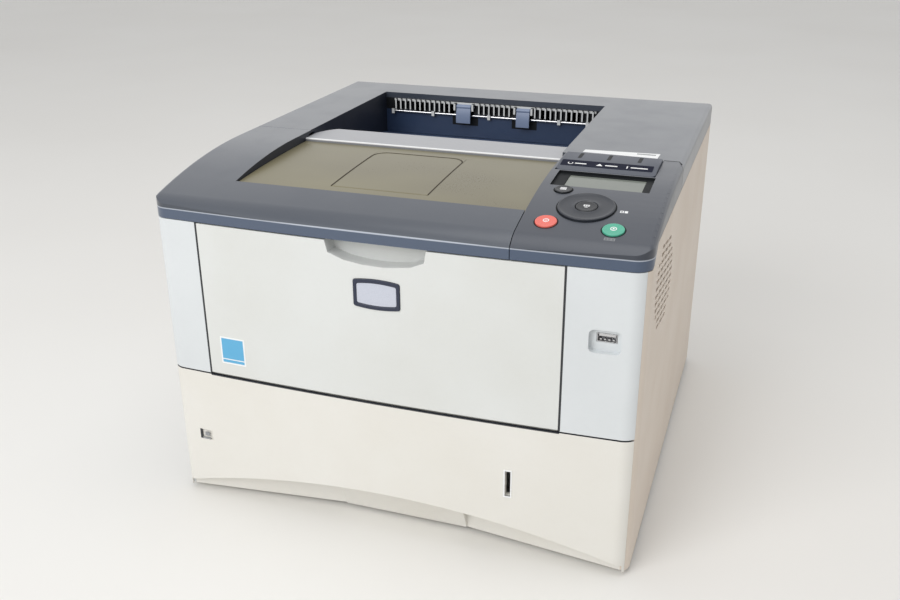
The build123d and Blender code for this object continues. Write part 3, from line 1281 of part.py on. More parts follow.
# Rear panel with the opening for the jam cover and the cut-outs for the sockets
rear_open_half = wrap_x - 52.0
rear_open_x = (-rear_open_half, rear_open_half)
rear_open_z = (deck_z + 3.2, lip_z - 2.0)
rear_hinge = (back_y - 4.8, deck_z + 10.0)
rear_pin_radius = 1.8
port_x = (8.0 - wrap_x, 42.0 - wrap_x)
port_z = (deck_z + 38.0, deck_z + 92.0)
rocker_y = back_y - 4.0
rocker_mid_z = (switch_z[0] + switch_z[1]) / 2
rocker_pin_radius = 1.5
rocker_pin_reach = 1.5
with BuildPart() as rear_panel:
    add(shell)
    slab(
        (-wrap_x + fixed_gap, wrap_x - fixed_gap),
        (back_y - wall - 1, far),
        (skirt_z, side_seam_z - cover_gap),
        Mode.INTERSECT,
    )
    slab(rear_open_x, (0, far), rear_open_z, Mode.SUBTRACT)
    for (low_x, high_x), (low_z, high_z) in ((inlet_x, inlet_z), (port_x, port_z)):
        window_x = (low_x - fixed_gap, high_x + fixed_gap)
        slab(window_x, (0, far), (low_z - fixed_gap, high_z + fixed_gap), Mode.SUBTRACT)
    for side in (-1, 1):
        lug = sorted((side * (rear_open_x[1] + 0.1), side * (rear_open_x[1] + 4.0)))
        slab(lug, (rear_hinge[0] - 4.0, back_y - 1.0), (rear_hinge[1] - 5.0, rear_hinge[1] + 5.0))
        rod((lug[0] - 1, lug[1] + 1), *rear_hinge, rear_pin_radius + pin_gap, Mode.SUBTRACT)
        spacer = sorted((side * (wrap_x - 14.0), side * (wrap_x - 10.0)))
        slab(spacer, (beam_back_y, back_y - 1.0), (inlet_z[1] + 8.0, inlet_z[1] + 16.0))
    housing_z = (switch_z[0] - 2.0, switch_z[1] + 2.0)
    slab((switch_x[0] - 2.0, switch_x[1] + 2.0), (back_y - 10.0, back_y - 1.0), housing_z)
    slab(switch_x, (back_y - 8.0, far), switch_z, Mode.SUBTRACT)
    rod(
        (switch_x[0] - rocker_pin_reach - 0.1, switch_x[1] + rocker_pin_reach + 0.1),
        rocker_y,
        rocker_mid_z,
        rocker_pin_radius + pin_gap,
        Mode.SUBTRACT,
    )
    with Locations(*[(40.0 + 12.0 * slot, back_y, 75.0) for slot in range(7)]):
        Box(5.0, 4 * wall, 50.0, mode=Mode.SUBTRACT)
write(rear_panel, "rear_panel")

# Jam cover at the rear, hinged along its lower edge
rear_cover_bottom_z = rear_open_z[0] + 1.1
with BuildPart() as rear_cover:
    add(shell)
    rear_cover_x = (rear_open_x[0] + cover_gap / 2, rear_open_x[1] - cover_gap / 2)
    rear_cover_z = (rear_cover_bottom_z, rear_open_z[1] - cover_gap)
    slab(rear_cover_x, (back_y - wall, far), rear_cover_z, Mode.INTERSECT)
    chamfer(rear_cover.edges().filter_by(Axis.X).group_by(Axis.Z)[0].sort_by(Axis.Y)[-1:], 1.8)
    for side in (-1, 1):
        cheek = sorted((side * (rear_cover_x[1] - 3.0), side * rear_cover_x[1]))
        slab(cheek, (back_y - 14.0, back_y - 1.0), (rear_hinge[1], rear_open_z[1] - 8.0))
        rod(cheek, *rear_hinge, 3.6)
        rod(sorted((side * rear_cover_x[1], side * (rear_cover_x[1] + 4.0))), *rear_hinge, rear_pin_radius)
    rib_step = (rear_open_half - 24.0) / 4
    for rib in range(-4, 5):
        rib_x = rib_step * rib
        rib_z = (rear_hinge[1] + 8.0, rear_open_z[1] - 10.0)
        slab((rib_x, rib_x + 2.0), (back_y - 12.0, back_y - 1.0), rib_z)
write(rear_cover, "rear_cover")

# Power inlet, rocker switch and the interface sockets
with BuildPart() as power_inlet:
    slab(inlet_x, (back_y - 24.0, back_y - 0.6), inlet_z)
    plug_x = (inlet_x[0] + 3.0, inlet_x[1] - 3.0)
    slab(plug_x, (back_y - 18.0, back_y), (inlet_z[0] + 3.0, inlet_z[1] - 3.0), Mode.SUBTRACT)
    for blade_x in (-6.5, 0.0, 6.5):
        middle_x = (inlet_x[0] + inlet_x[1]) / 2 + blade_x
        blade_z = (inlet_z[0] + 6.5, inlet_z[0] + 11.5)
        slab((middle_x - 1.0, middle_x + 1.0), (back_y - 19.0, back_y - 5.0), blade_z)
write(power_inlet, "power_inlet")
with BuildPart() as power_switch:
    prism_x(
        [
            (rocker_y + 4.0, rocker_mid_z + 9.5),
            (rocker_y + 2.0, rocker_mid_z),
            (rocker_y + 1.4, rocker_mid_z - 9.5),
            (rocker_y - 1.0, rocker_mid_z - 9.5),
            (rocker_y - 2.2, rocker_mid_z),
            (rocker_y + 0.6, rocker_mid_z + 9.5),
        ],
        (switch_x[0] + slide_gap, switch_x[1] - slide_gap),
    )
    pin_x = (switch_x[0] - rocker_pin_reach, switch_x[1] + rocker_pin_reach)
    rod(pin_x, rocker_y, rocker_mid_z, rocker_pin_radius)
write(power_switch, "power_switch")
jack_z = ((port_z[0] + 30.0, port_z[0] + 44.0), (port_z[0] + 6.0, port_z[0] + 20.0))
with BuildPart() as interface_ports:
    slab(port_x, (back_y - 4.0, back_y - 1.5), port_z)
    jack_x = (port_x[0] + 6.0, port_x[1] - 12.0)
    for low_z, high_z in jack_z:
        slab(jack_x, (back_y - 20.0, back_y - 2.0), (low_z, high_z))
        slab((jack_x[0] + 1, jack_x[1] - 1), (back_y - 18.0, back_y), (low_z + 1, high_z - 1), Mode.SUBTRACT)
    tongue_z = (jack_z[1][0] + 5.0, jack_z[1][0] + 9.0)
    slab((jack_x[0] + 4, jack_x[1] - 4), (back_y - 18.5, back_y - 8.0), tongue_z)
write(interface_ports, "interface_ports")

# Boards on the left: control board on the side frame, power supply on the base beam
standoff = 6.0


def side_board(node, foot_x, y, z, parts_on_it):
    """Upright circuit board on four standoffs, with blocks for its tall components."""
    near = foot_x - standoff
    with BuildPart() as board:
        slab((near - board_sheet, near), y, z)
        for at_y in (y[0] + 5, y[1] - 5):
            for at_z in (z[0] + 5, z[1] - 5):
                rod((near - 0.5, foot_x), at_y, at_z, 3.0)
        for from_y, from_z, long, tall, rise in parts_on_it:
            low_y, low_z = y[0] + from_y, z[0] + from_z
            part_x = (near - board_sheet - rise, near - board_sheet)
            slab(part_x, (low_y, low_y + long), (low_z, low_z + tall))
    write(board, node)


side_board(
    "control_board",
    -frame_x - frame_sheet,
    (drum_axis[0] + 12.0, drum_axis[0] + 160.0),
    (deck_z + 10.0, deck_z + 96.0),
    [(28.0, 38.0, 30.0, 30.0, 3.0), (88.0, 18.0, 24.0, 24.0, 6.0), (48.0, 8.0, 40.0, 12.0, 4.0)],
)
side_board(
    "power_supply",
    -frame_x,
    (drum_axis[0], drum_axis[0] + 160.0),
    (foot_top_z + 8.0, deck_z - 12.0),
    [(20.0, 24.0, 30.0, 30.0, 8.0), (80.0, 14.0, 22.0, 40.0, 9.0), (120.0, 44.0, 18.0, 18.0, 7.0)],
)
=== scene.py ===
# %% [markdown]
# # A desk-side laser printer
#
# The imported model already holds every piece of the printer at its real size. This lesson gives
# those pieces their looks: rounded edges that catch the light, moulded plastics with a fine
# grain, printed marks on the key panel and the small trims that are too thin for a solid.
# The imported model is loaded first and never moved, so that each new piece can take its place
# from it.

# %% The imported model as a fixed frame
import json
from math import asin, atan2, cos, pi, radians, sin, sqrt

import bmesh
import bpy
from mathutils import Matrix, Vector

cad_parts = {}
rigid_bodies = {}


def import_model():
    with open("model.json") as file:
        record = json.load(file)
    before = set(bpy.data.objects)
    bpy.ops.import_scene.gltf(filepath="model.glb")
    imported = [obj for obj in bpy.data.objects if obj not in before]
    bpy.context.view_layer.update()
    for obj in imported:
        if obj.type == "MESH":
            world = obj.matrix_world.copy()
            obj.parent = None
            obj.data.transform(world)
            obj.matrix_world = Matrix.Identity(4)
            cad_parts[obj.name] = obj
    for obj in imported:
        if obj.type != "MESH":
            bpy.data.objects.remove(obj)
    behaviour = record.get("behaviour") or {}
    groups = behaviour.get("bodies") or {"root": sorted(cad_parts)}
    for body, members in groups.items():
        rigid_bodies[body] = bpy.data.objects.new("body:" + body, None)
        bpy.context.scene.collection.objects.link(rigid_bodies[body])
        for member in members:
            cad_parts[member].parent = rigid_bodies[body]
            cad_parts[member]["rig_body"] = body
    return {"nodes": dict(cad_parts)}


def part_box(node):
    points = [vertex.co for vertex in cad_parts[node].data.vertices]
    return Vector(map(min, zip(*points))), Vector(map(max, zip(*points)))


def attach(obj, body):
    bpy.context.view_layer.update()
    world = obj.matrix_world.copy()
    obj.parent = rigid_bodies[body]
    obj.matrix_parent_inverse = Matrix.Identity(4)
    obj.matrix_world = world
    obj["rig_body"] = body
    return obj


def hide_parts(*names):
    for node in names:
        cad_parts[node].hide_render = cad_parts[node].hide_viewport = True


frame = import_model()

MM = 0.001
scene = bpy.context.scene
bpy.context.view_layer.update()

# %% [markdown]
# The camera stands where the photographer stood, a little above the printer and to its right.
# A camera can be aimed with a Track To constraint, but the view was worked out from the
# printer's own corners as three angles, so the matrix is built from those angles.

# %% Camera
camera_place = Vector((261.4, -798.2, 488.3)) * MM
turn, dip, roll = radians(19.101), radians(23.391), radians(-0.289)
forward = Vector((-sin(turn) * cos(dip), cos(turn) * cos(dip), -sin(dip)))
level_right = Vector((cos(turn), sin(turn), 0.0))
level_up = level_right.cross(forward)
right = level_right * cos(roll) + level_up * sin(roll)
up = level_up * cos(roll) - level_right * sin(roll)
camera_data = bpy.data.cameras.new("camera")
camera_data.lens = 39.37
camera_data.sensor_width = 36.0
camera = bpy.data.objects.new("camera", camera_data)
scene.collection.objects.link(camera)
aimed = Matrix((right, up, -forward)).transposed().to_4x4()
camera.matrix_world = Matrix.Translation(camera_place) @ aimed
scene.camera = camera
scene.view_settings.view_transform = "Standard"
print("camera", [round(value, 3) for value in camera.location])

# %% [markdown]
# Shader maths reads best as ordinary arithmetic. This class wraps a node's output, and each
# operator adds the Math node that does the same sum. The reflected forms, such as `__rsub__`,
# let a plain number stand on the left.


# %% Sockets that can be added and multiplied
class Wire:
    """An output socket that Python's operators work on."""

    def __init__(self, finish, socket):
        self.finish, self.socket = finish, socket

    def math(self, operation, *values):
        """One Math node, with this wire as its first value."""
        inputs = dict(enumerate((self,) + values))
        return self.finish.node("ShaderNodeMath", {"operation": operation}, inputs)

    def __add__(self, other):
        return self.math("ADD", other)

    def __sub__(self, other):
        return self.math("SUBTRACT", other)

    def __rsub__(self, other):
        return self.math("MULTIPLY", -1.0) + other

    def __mul__(self, other):
        return self.math("MULTIPLY", other)

    __radd__ = __add__
    __rmul__ = __mul__


class Finish:
    """A material with one Principled shader, and the tools to wire it."""

    def __init__(self, name, colour, roughness, **more):
        self.material = bpy.data.materials.new(name)
        self.material.use_nodes = True
        self.tree = self.material.node_tree
        self.shader = self.tree.nodes["Principled BSDF"]
        self.here = self.node("ShaderNodeTexCoord", {}, {}, "Object")
        self.feed("Base Color", (*colour, 1.0))
        self.feed("Roughness", roughness)
        for socket, value in more.items():
            self.feed(socket, value)

    def node(self, kind, settings, inputs, output=0):
        """Add a node: its settings first, then the values or links of its sockets."""
        added = self.tree.nodes.new(kind)
        for key, value in settings.items():
            if key == "stops":
                for stop, (place, colour) in zip(added.color_ramp.elements, value):
                    stop.position, stop.color = place, colour
            else:
                setattr(added, key, value)
        for key, value in inputs.items():
            if isinstance(value, Wire):
                self.tree.links.new(value.socket, added.inputs[key])
            else:
                added.inputs[key].default_value = value
        return Wire(self, added.outputs[output])

    def feed(self, name, value):
        """Set a socket of the shader, or link a wire to it."""
        if isinstance(value, Wire):
            self.tree.links.new(value.socket, self.shader.inputs[name])
        else:
            self.shader.inputs[name].default_value = value

    def noise(self, size, detail=2.0, stretch=(1.0, 1.0, 1.0), seed=0.0):
        """Cloudy pattern whose patches are about size metres across."""
        scale = tuple(value / size for value in stretch)
        inputs = {"Vector": self.here, "Scale": scale, "Location": (seed, seed, 0)}
        spot = self.node("ShaderNodeMapping", {}, inputs)
        return self.node("ShaderNodeTexNoise", {}, {"Vector": spot, "Scale": 1.0, "Detail": detail})

    def blend(self, mask, low, high):
        """Colour low where the mask is 0, and high where it is 1."""
        colours = [value if isinstance(value, Wire) else (*value, 1.0) for value in (low, high)]
        inputs = {0: mask, 6: colours[0], 7: colours[1]}
        return self.node("ShaderNodeMix", {"data_type": "RGBA"}, inputs, 2)

    def place(self, axis):
        """Distance from the origin along X, Y or Z, in metres."""
        return self.node("ShaderNodeSeparateXYZ", {}, {"Vector": self.here}, axis)

    def band(self, axis, middle, half, soft):
        """1 within half of the middle, in millimetres, fading to 0 over the soft edge."""
        away = (self.place(axis) - middle * MM).math("ABSOLUTE")
        return self.ramp(away, (half + soft) * MM, half * MM)

    def ramp(self, value, low, high):
        """Stretch a value so that low becomes 0 and high becomes 1, without going past either."""
        inputs = {0: value, 1: low, 2: high, 3: 0.0, 4: 1.0}
        return self.node("ShaderNodeMapRange", {"clamp": True}, inputs)

    def fade(self, axis, start, end):
        """0 up to start and 1 from end on, in millimetres along an axis."""
        return self.ramp(self.place(axis), start * MM, end * MM)

    def bump(self, height, distance, strength=1.0):
        """Raise the surface by the height times a distance in metres."""
        inputs = {"Height": height, "Distance": distance, "Strength": strength}
        self.feed("Normal", self.node("ShaderNodeBump", {}, inputs))


def shade(*values):
    """Turn a colour read as 0 to 255 into linear light."""
    linear = []
    for value in values:
        part = value / 255.0
        linear.append(part / 12.92 if part <= 0.04045 else ((part + 0.055) / 1.055) ** 2.4)
    return tuple(linear)


print("shader tools ready")

# %% [markdown]
# The plastics come first. A moulded cover isn't one flat colour: its mould was etched with a
# fine grain, it has yellowed unevenly, and it holds a little dust in its grain. So each plastic
# mixes two near shades over large soft patches, varies its roughness over small ones, and gets
# the grain as bump. The sizes are real ones: a grain of about 0.4 mm, 0.01 mm deep.

# %% Moulded plastics
GRAIN = 0.45 * MM


def moulded(name, colour, aged, roughness=0.5, grain_depth=0.012, scuff=0.0, wear=0.08, painted_light_regions=(),
            **more):
    """Plastic with a spark-eroded grain, aged in soft patches, with painted light and shade over some parts.
    """
    plastic = Finish(name, shade(*colour), roughness, **more)
    clouds = plastic.ramp(plastic.noise(0.09, 3.0), 0.35, 0.7)
    dust = plastic.ramp(plastic.noise(0.004, 4.0, seed=3.0), 0.5, 0.85)
    body_colour = plastic.blend(clouds * 0.8 + dust * 0.2, shade(*colour), shade(*aged))
    for mask, second in painted_light_regions:
        body_colour = plastic.blend(mask(plastic), body_colour, shade(*second))
    plastic.feed("Base Color", body_colour)
    grain = plastic.noise(GRAIN, 1.0)
    worn = plastic.ramp(plastic.noise(0.03, 5.0, seed=7.0), 0.45, 0.75)
    plastic.feed("Roughness", worn * wear + grain * 0.06 + (roughness - 0.06))
    height = grain
    if scuff:
        lines = plastic.ramp(plastic.noise(0.0012, 2.0, (0.06, 1.0, 0.6), 11.0), 0.66, 0.72)
        height = grain - lines * scuff
    plastic.bump(height, grain_depth * MM)
    return plastic.material


LIP_START_Y, LIP_END_Y, CREASE_Z = -150.0, -160.0, 255.9
CREST_FRONT_Y, CREST_FOOT_Z, ROD_TOP_Z = -34.4, 275.0, 262.8


def crease_highlight(plastic):
    """Painted highlight: a pale line along the upper edge of the front face, where a glint would be."""
    return plastic.band("Z", CREASE_Z, 0.25, 0.3) * plastic.fade("Y", LIP_START_Y, LIP_END_Y)


def lip_reflection(plastic):
    """Painted reflection: the upright front face under the fold is coloured bluer, as a cool reflection
    would make it.
    """
    return plastic.fade("Z", CREASE_Z, CREASE_Z - 0.4) * plastic.fade("Y", LIP_START_Y, LIP_END_Y)


def crest_highlight(plastic):
    """Painted highlight: a near-white band along the crest's top front edge, where a glint would be."""
    return plastic.band("Y", CREST_FRONT_Y, 1.2, 0.4) * plastic.fade("Z", CREST_FOOT_Z, CREST_FOOT_Z + 0.4)


def crest_front_shade(plastic):
    """Painted shade: the upright front face of the crest, coloured darker than its top."""
    return plastic.fade("Y", CREST_FRONT_Y, CREST_FRONT_Y - 0.4)


def roller_gap_shade(plastic):
    """Painted shade: the gap behind the comb, above the steel rod, is coloured near black."""
    return plastic.fade("Z", ROD_TOP_Z, ROD_TOP_Z + 0.6)


cool_white = moulded("cool_white_cover", (221, 225, 227), (214, 218, 220))
warm_white = moulded("warm_white_cover", (223, 225, 223), (217, 218, 214))
# Painted light: the white of the side and rear covers is warmed, standing in for warm light bounced onto
# that side.
warm_bounce_white = moulded("side_white_cover", (225, 213, 200), (217, 203, 188))
cream = moulded("cream_cassette_front", (231, 229, 223), (226, 223, 215))
gloss_hood = {"Specular IOR Level": 0.5, "Coat Weight": 0.85, "Coat Roughness": 0.28}
# Painted light on the hood and the key panel: a bluer painted reflection on the upright front face and a
# painted highlight along its upper edge.
lip_painted_light = ((lip_reflection, (62, 78, 102)), (crease_highlight, (170, 177, 188)))
hood_colours = (46, 54, 67), (53, 60, 71)
hood = moulded("hood_grey", *hood_colours, roughness=0.42, scuff=0.5, painted_light_regions=lip_painted_light, **gloss_hood)
panel_gloss = {"Specular IOR Level": 0.5, "Coat Weight": 0.55, "Coat Roughness": 0.28}
panel_colours = (40, 47, 60), (46, 52, 64)
panel_grey = moulded("key_panel_grey", *panel_colours, roughness=0.42, painted_light_regions=lip_painted_light, **panel_gloss)
bar_grey = moulded("light_bar_grey", (58, 64, 78), (64, 70, 82), roughness=0.4)
well_navy = moulded("well_navy", (40, 56, 84), (50, 67, 96), roughness=0.4, grain_depth=0.006)
# Painted shade: the wall of the exit guide turns near black above the rod.
gap_shade_region = ((roller_gap_shade, (10, 12, 16)),)
guide_smooth = {"roughness": 0.4, "grain_depth": 0.006}
guide_navy = moulded("guide_navy", (40, 56, 84), (50, 67, 96), painted_light_regions=gap_shade_region, **guide_smooth)
# Painted shade: a near-black navy for deep side walls and for the cassette's edge in the gap below the tray.
deep_shade_navy = moulded("well_side_navy", (14, 19, 32), (20, 26, 40), roughness=0.5, grain_depth=0.006)
crest_smooth = {"roughness": 0.42, "grain_depth": 0.002, "wear": 0.02}
# Painted shade on the crest's front face, and a painted highlight along its top front edge.
crest_painted_light = ((crest_front_shade, (136, 138, 144)), (crest_highlight, (252, 253, 254)))
crest_grey = moulded("crest_grey", (172, 173, 176), (166, 167, 171), painted_light_regions=crest_painted_light, **crest_smooth)
flap_blue = moulded("flap_blue_grey", (128, 142, 168), (116, 130, 158), roughness=0.35)
guide_white = moulded("guide_white", (226, 227, 226), (218, 219, 216), roughness=0.4)
engine_black = moulded("engine_black", (42, 43, 46), (50, 51, 54), roughness=0.5)
socket_black = moulded("socket_black", (30, 30, 32), (38, 38, 40), roughness=0.45)
toner_black = moulded("toner_black", (46, 47, 50), (54, 55, 57), roughness=0.55)
key_grey = moulded("key_grey", (38, 42, 50), (44, 48, 56), roughness=0.34, grain_depth=0.003)
key_black = moulded("key_black", (24, 27, 32), (28, 31, 36), roughness=0.28, grain_depth=0.002)
key_red = moulded("key_red", (236, 116, 104), (229, 108, 96), roughness=0.3, grain_depth=0.003)
key_green = moulded("key_green", (84, 178, 150), (76, 169, 142), roughness=0.3, grain_depth=0.003)
badge_navy = moulded("badge_navy", (36, 43, 64), (42, 49, 70), roughness=0.25, grain_depth=0.002)
badge_silver = moulded("badge_silver", (200, 204, 216), (192, 197, 209), roughness=0.3, grain_depth=0.003)
print_white = moulded("printed_white", (246, 247, 247), (240, 241, 241), roughness=0.5, grain_depth=0.002)
print_grey = moulded("printed_grey", (150, 152, 154), (142, 144, 147), roughness=0.5, grain_depth=0.002)
# Black for print, and for the painted shadow strips in the seams round the front tray.
print_and_shadow_black = moulded("printed_black", (40, 42, 46), (46, 48, 52), roughness=0.5, grain_depth=0.002)
sticker_blue = moulded("sticker_blue", (98, 178, 220), (92, 171, 214), roughness=0.35, grain_depth=0.002)
feet_rubber = moulded("feet_rubber", (38, 38, 38), (48, 48, 46), roughness=0.8, grain_depth=0.03)
roller_rubber = moulded("roller_rubber", (50, 50, 52), (58, 58, 60), roughness=0.75, grain_depth=0.02)
fuser_rubber = moulded("fuser_rubber", (150, 84, 62), (140, 76, 56), roughness=0.5)
print("plastics", len(bpy.data.materials))

# %% [markdown]
# The beige insert is a smoked, slightly glossy plastic whose shade drifts across it, with the
# broad soft streaks that a mould leaves. Metals need stretched noise: rolled sheet and turned
# shafts carry fine lines along one direction.

# %% Insert, metals, glass and boards
def smoked(name):
    """Beige insert plastic: glossy, with slow streaks and a painted highlight along its front rim."""
    insert = Finish(name, shade(116, 109, 88), 0.3, **{"Specular IOR Level": 0.4})
    drift = insert.ramp(insert.noise(0.12, 2.0, (0.6, 1.0, 1.0)), 0.3, 0.7)
    tinted = insert.blend(drift, shade(106, 99, 78), shade(130, 124, 98))
    # Painted highlight: the front rim is coloured pale where its edge would catch the light.
    front_rim_highlight = insert.ramp(insert.place("Y"), -0.1533, -0.1537)
    insert.feed("Base Color", insert.blend(front_rim_highlight, tinted, shade(196, 188, 158)))
    fine = insert.noise(0.0008, 1.0)
    insert.feed("Roughness", drift * 0.05 + fine * 0.05 + 0.24)
    insert.bump(fine, 0.003 * MM)
    return insert.material


def metal(name, colour, roughness, stretch, lines=0.0006):
    """Metal with fine lines along one direction."""
    bright = Finish(name, colour, roughness, **{"Metallic": 1.0})
    streaks = bright.noise(lines, 3.0, stretch)
    clouds = bright.noise(0.03, 2.0)
    bright.feed("Base Color", bright.blend(clouds, colour, tuple(0.85 * part for part in colour)))
    bright.feed("Roughness", streaks * 0.18 + clouds * 0.08 + (roughness - 0.12))
    bright.bump(streaks, 0.002 * MM)
    return bright.material


def display_glass():
    """Unlit display: pale green-grey glass over faint rows of dots."""
    glass = Finish("display_glass", shade(128, 133, 127), 0.16, **{"Specular IOR Level": 0.35})
    dots = (glass.place("X") * (2 * pi / (0.6 * MM))).math("SINE")
    clouds = glass.noise(0.02, 2.0)
    mask = glass.ramp(dots * 0.3 + clouds, 0.3, 0.9)
    glass.feed("Base Color", glass.blend(mask, shade(124, 129, 123), shade(134, 138, 130)))
    glass.feed("Roughness", clouds * 0.06 + 0.1)
    return glass.material


def board_material():
    """Circuit board lacquer over fine tracks."""
    board = Finish("board_green", shade(46, 92, 60), 0.35)
    tracks = board.ramp(board.noise(0.002, 0.0, (1.0, 0.25, 1.0)), 0.47, 0.53)
    board.feed("Base Color", board.blend(tracks, shade(40, 84, 54), shade(70, 124, 84)))
    board.feed("Roughness", tracks * 0.1 + 0.3)
    board.bump(tracks, 0.03 * MM)
    return board.material


insert_beige = smoked("insert_beige")
shaft_steel = metal("shaft_steel", (0.62, 0.62, 0.63), 0.25, (0.05, 1.0, 1.0))
sheet_steel = metal("sheet_steel", (0.52, 0.53, 0.55), 0.4, (1.0, 0.06, 1.0))
lcd_glass = display_glass()
board_green = board_material()
drum_coat = moulded("drum_coat", (64, 142, 138), (58, 134, 132), roughness=0.12, grain_depth=0.001)
dull = {"Specular IOR Level": 0.1}
gloss_black = moulded("gloss_black", (14, 18, 38), (18, 22, 42), roughness=0.6, grain_depth=0.001, **dull)
seam_brown = moulded("seam_brown", (58, 52, 42), (66, 60, 48), roughness=0.6, grain_depth=0.002, **dull)
# Dark for the light windows and the seams round the keys and the panel, and painted shade in the display's
# well and the notches of the flaps.
dark_recess = moulded("dark_recess", (34, 36, 38), (30, 32, 34), roughness=0.5, **dull)
print("finishes", len(bpy.data.materials))

# %% [markdown]
# A solid from CAD has knife edges, and no real moulding does. Each visible piece is therefore
# copied, its loose triangles are merged into plain faces, and a Bevel modifier rounds the edges
# by a few tenths of a millimetre. The copy replaces the solid, which stays in place for
# collision. Doing all of them in one loop keeps every piece alike.


def settle(piece, body):
    """Let a finished piece ride on its body."""
    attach(piece, body)
    return piece


def link(name, mesh, *materials):
    """Make a mesh an object of the scene."""
    piece = bpy.data.objects.new(name, mesh)
    scene.collection.objects.link(piece)
    for material in materials:
        mesh.materials.append(material)
    return piece


def kept(piece):
    """Turn the piece's modifiers into plain mesh."""
    graph = bpy.context.evaluated_depsgraph_get()
    piece.data = bpy.data.meshes.new_from_object(piece.evaluated_get(graph))
    piece.modifiers.clear()


def soften(piece, width, segments=2, angle=28.0, sharp=40.0):
    """Round the steep edges, then weigh the normals by area so that wide faces shade evenly."""
    mesh = piece.data
    mesh.polygons.foreach_set("use_smooth", [True] * len(mesh.polygons))
    if width:
        bevel = piece.modifiers.new("rounded edges", "BEVEL")
        bevel.width = width * MM
        bevel.segments = segments
        bevel.limit_method = "ANGLE"
        bevel.angle_limit = radians(angle)
        bevel.use_clamp_overlap = True
        bevel.miter_outer = "MITER_ARC"
        kept(piece)
    piece.data.set_sharp_from_angle(angle=radians(sharp))
    even = piece.modifiers.new("even shading", "WEIGHTED_NORMAL")
    even.mode = "FACE_AREA"
    even.weight = 60
    even.keep_sharp = True
    kept(piece)
    return piece


def dressed(node, material, width=0.3, segments=2):
    """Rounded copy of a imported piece, which replaces it."""
    source = frame["nodes"][node]
    work = bmesh.new()
    work.from_mesh(source.data)
    bmesh.ops.remove_doubles(work, verts=work.verts, dist=0.002 * MM)
    bmesh.ops.dissolve_limit(work, angle_limit=radians(0.15), verts=work.verts, edges=work.edges)
    mesh = bpy.data.meshes.new(node + "_shell")
    work.to_mesh(mesh)
    work.free()
    piece = soften(link(node + "_finished", mesh, material), width, segments)
    settle(piece, source["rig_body"])
    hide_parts(node)
    return piece


finishes = {
    "top_cover": (hood, 0.6), "top_housing": (hood, 0.6), "control_panel": (panel_grey, 0.5),
    "led_bar": (bar_grey, 0.8, 3), "crest": (crest_grey, 1.8, 4), "tray_insert": (insert_beige, 0.35),
    "paper_stopper": (insert_beige, 0.35), "output_tray": (well_navy, 0.4), "exit_guide": (guide_navy, 0.2),
    "left_cover": (cool_white, 0.5), "right_cover": (warm_bounce_white, 0.4),
    "front_right_cover": (cool_white, 0.5), "mp_tray": (warm_white, 0.5), "cassette_front": (cream, 0.6),
    "cassette_tub": (guide_white, 0.4), "rear_panel": (warm_bounce_white, 0.4), "rear_cover": (warm_bounce_white, 0.5),
    "badge": (badge_navy, 0.35), "display": (lcd_glass, 0.1), "paper_flap_left": (flap_blue, 0.3),
    "paper_flap_right": (flap_blue, 0.3), "usb_socket": (shaft_steel, 0.1), "static_rod": (shaft_steel, 0.0),
    "rubber_feet": (feet_rubber, 0.6), "power_inlet": (socket_black, 0.4),
    "power_switch": (socket_black, 0.4), "interface_ports": (sheet_steel, 0.2),
    "exit_rollers": (roller_rubber, 0.3), "idler_rollers": (guide_white, 0.3),
    "feed_roller": (roller_rubber, 0.3), "pickup_roller": (roller_rubber, 0.3),
    "transfer_roller": (roller_rubber, 0.3), "drum": (drum_coat, 0.15), "heat_roller": (fuser_rubber, 0.3),
    "pressure_roller": (roller_rubber, 0.3), "motor_pinion": (guide_white, 0.1),
    "main_motor": (sheet_steel, 0.3), "fan_frame": (engine_black, 0.3), "fan_rotor": (engine_black, 0.2),
    "mp_guide_left": (guide_white, 0.3), "mp_guide_right": (guide_white, 0.3),
    "lift_plate": (sheet_steel, 0.2), "width_guide_left": (guide_white, 0.2),
    "width_guide_right": (guide_white, 0.2), "length_guide": (guide_white, 0.3),
    "guide_pinion": (guide_white, 0.1), "toner_container": (toner_black, 0.8),
    "developer_unit": (engine_black, 0.5), "laser_scanner": (engine_black, 0.5),
    "fuser_frame": (sheet_steel, 0.3), "base_frame": (sheet_steel, 0.2),
    "left_side_frame": (sheet_steel, 0.2), "right_side_frame": (sheet_steel, 0.2),
    "control_board": (board_green, 0.1), "power_supply": (board_green, 0.1),
}
pieces = {node: dressed(node, *finish) for node, finish in finishes.items()}
faces = sum(len(piece.data.polygons) for piece in pieces.values())
print("dressed", len(pieces), "of", len(frame["nodes"]), "faces", faces)

# %% [markdown]
# Some moulded pieces carry two colours: the comb at the back of the output well has white ribs,
# and only their front faces are white, so that their sides keep the wall's dark colour as painted
# shade. The display's well in the panel, deep side walls and the edge below the tray are coloured
# dark as painted shade. A second solid would be one way. Giving the faces of one region a
# second material is simpler, and the piece stays whole.

# %% Second colours and painted shade
def corners_of(node):
    """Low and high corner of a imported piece, in millimetres."""
    return [[value / MM for value in corner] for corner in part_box(node)]


half_width, _, crown_z = corners_of("top_housing")[1]
front_y = corners_of("mp_tray")[0][1]
bar_low, bar_high = corners_of("led_bar")
guide_low, guide_high = corners_of("exit_guide")
wall_front_y = corners_of("static_rod")[1][1] + 0.8
comb_foot_z = guide_high[2] - 10.3
holder_foot_z = comb_foot_z - 6.0
cassette_edge_z = 118.0
frame_front_y, frame_rear_y = -156.0, -30.0


def paint(piece, material, test):
    """Give a second material to each face whose centre and normal pass the test."""
    piece.data.materials.append(material)
    second = len(piece.data.materials) - 1
    count = 0
    for face in piece.data.polygons:
        if test(face.center / MM, face.normal):
            face.material_index = second
            count += 1
    print(piece.name, "second colour on", count, "faces")


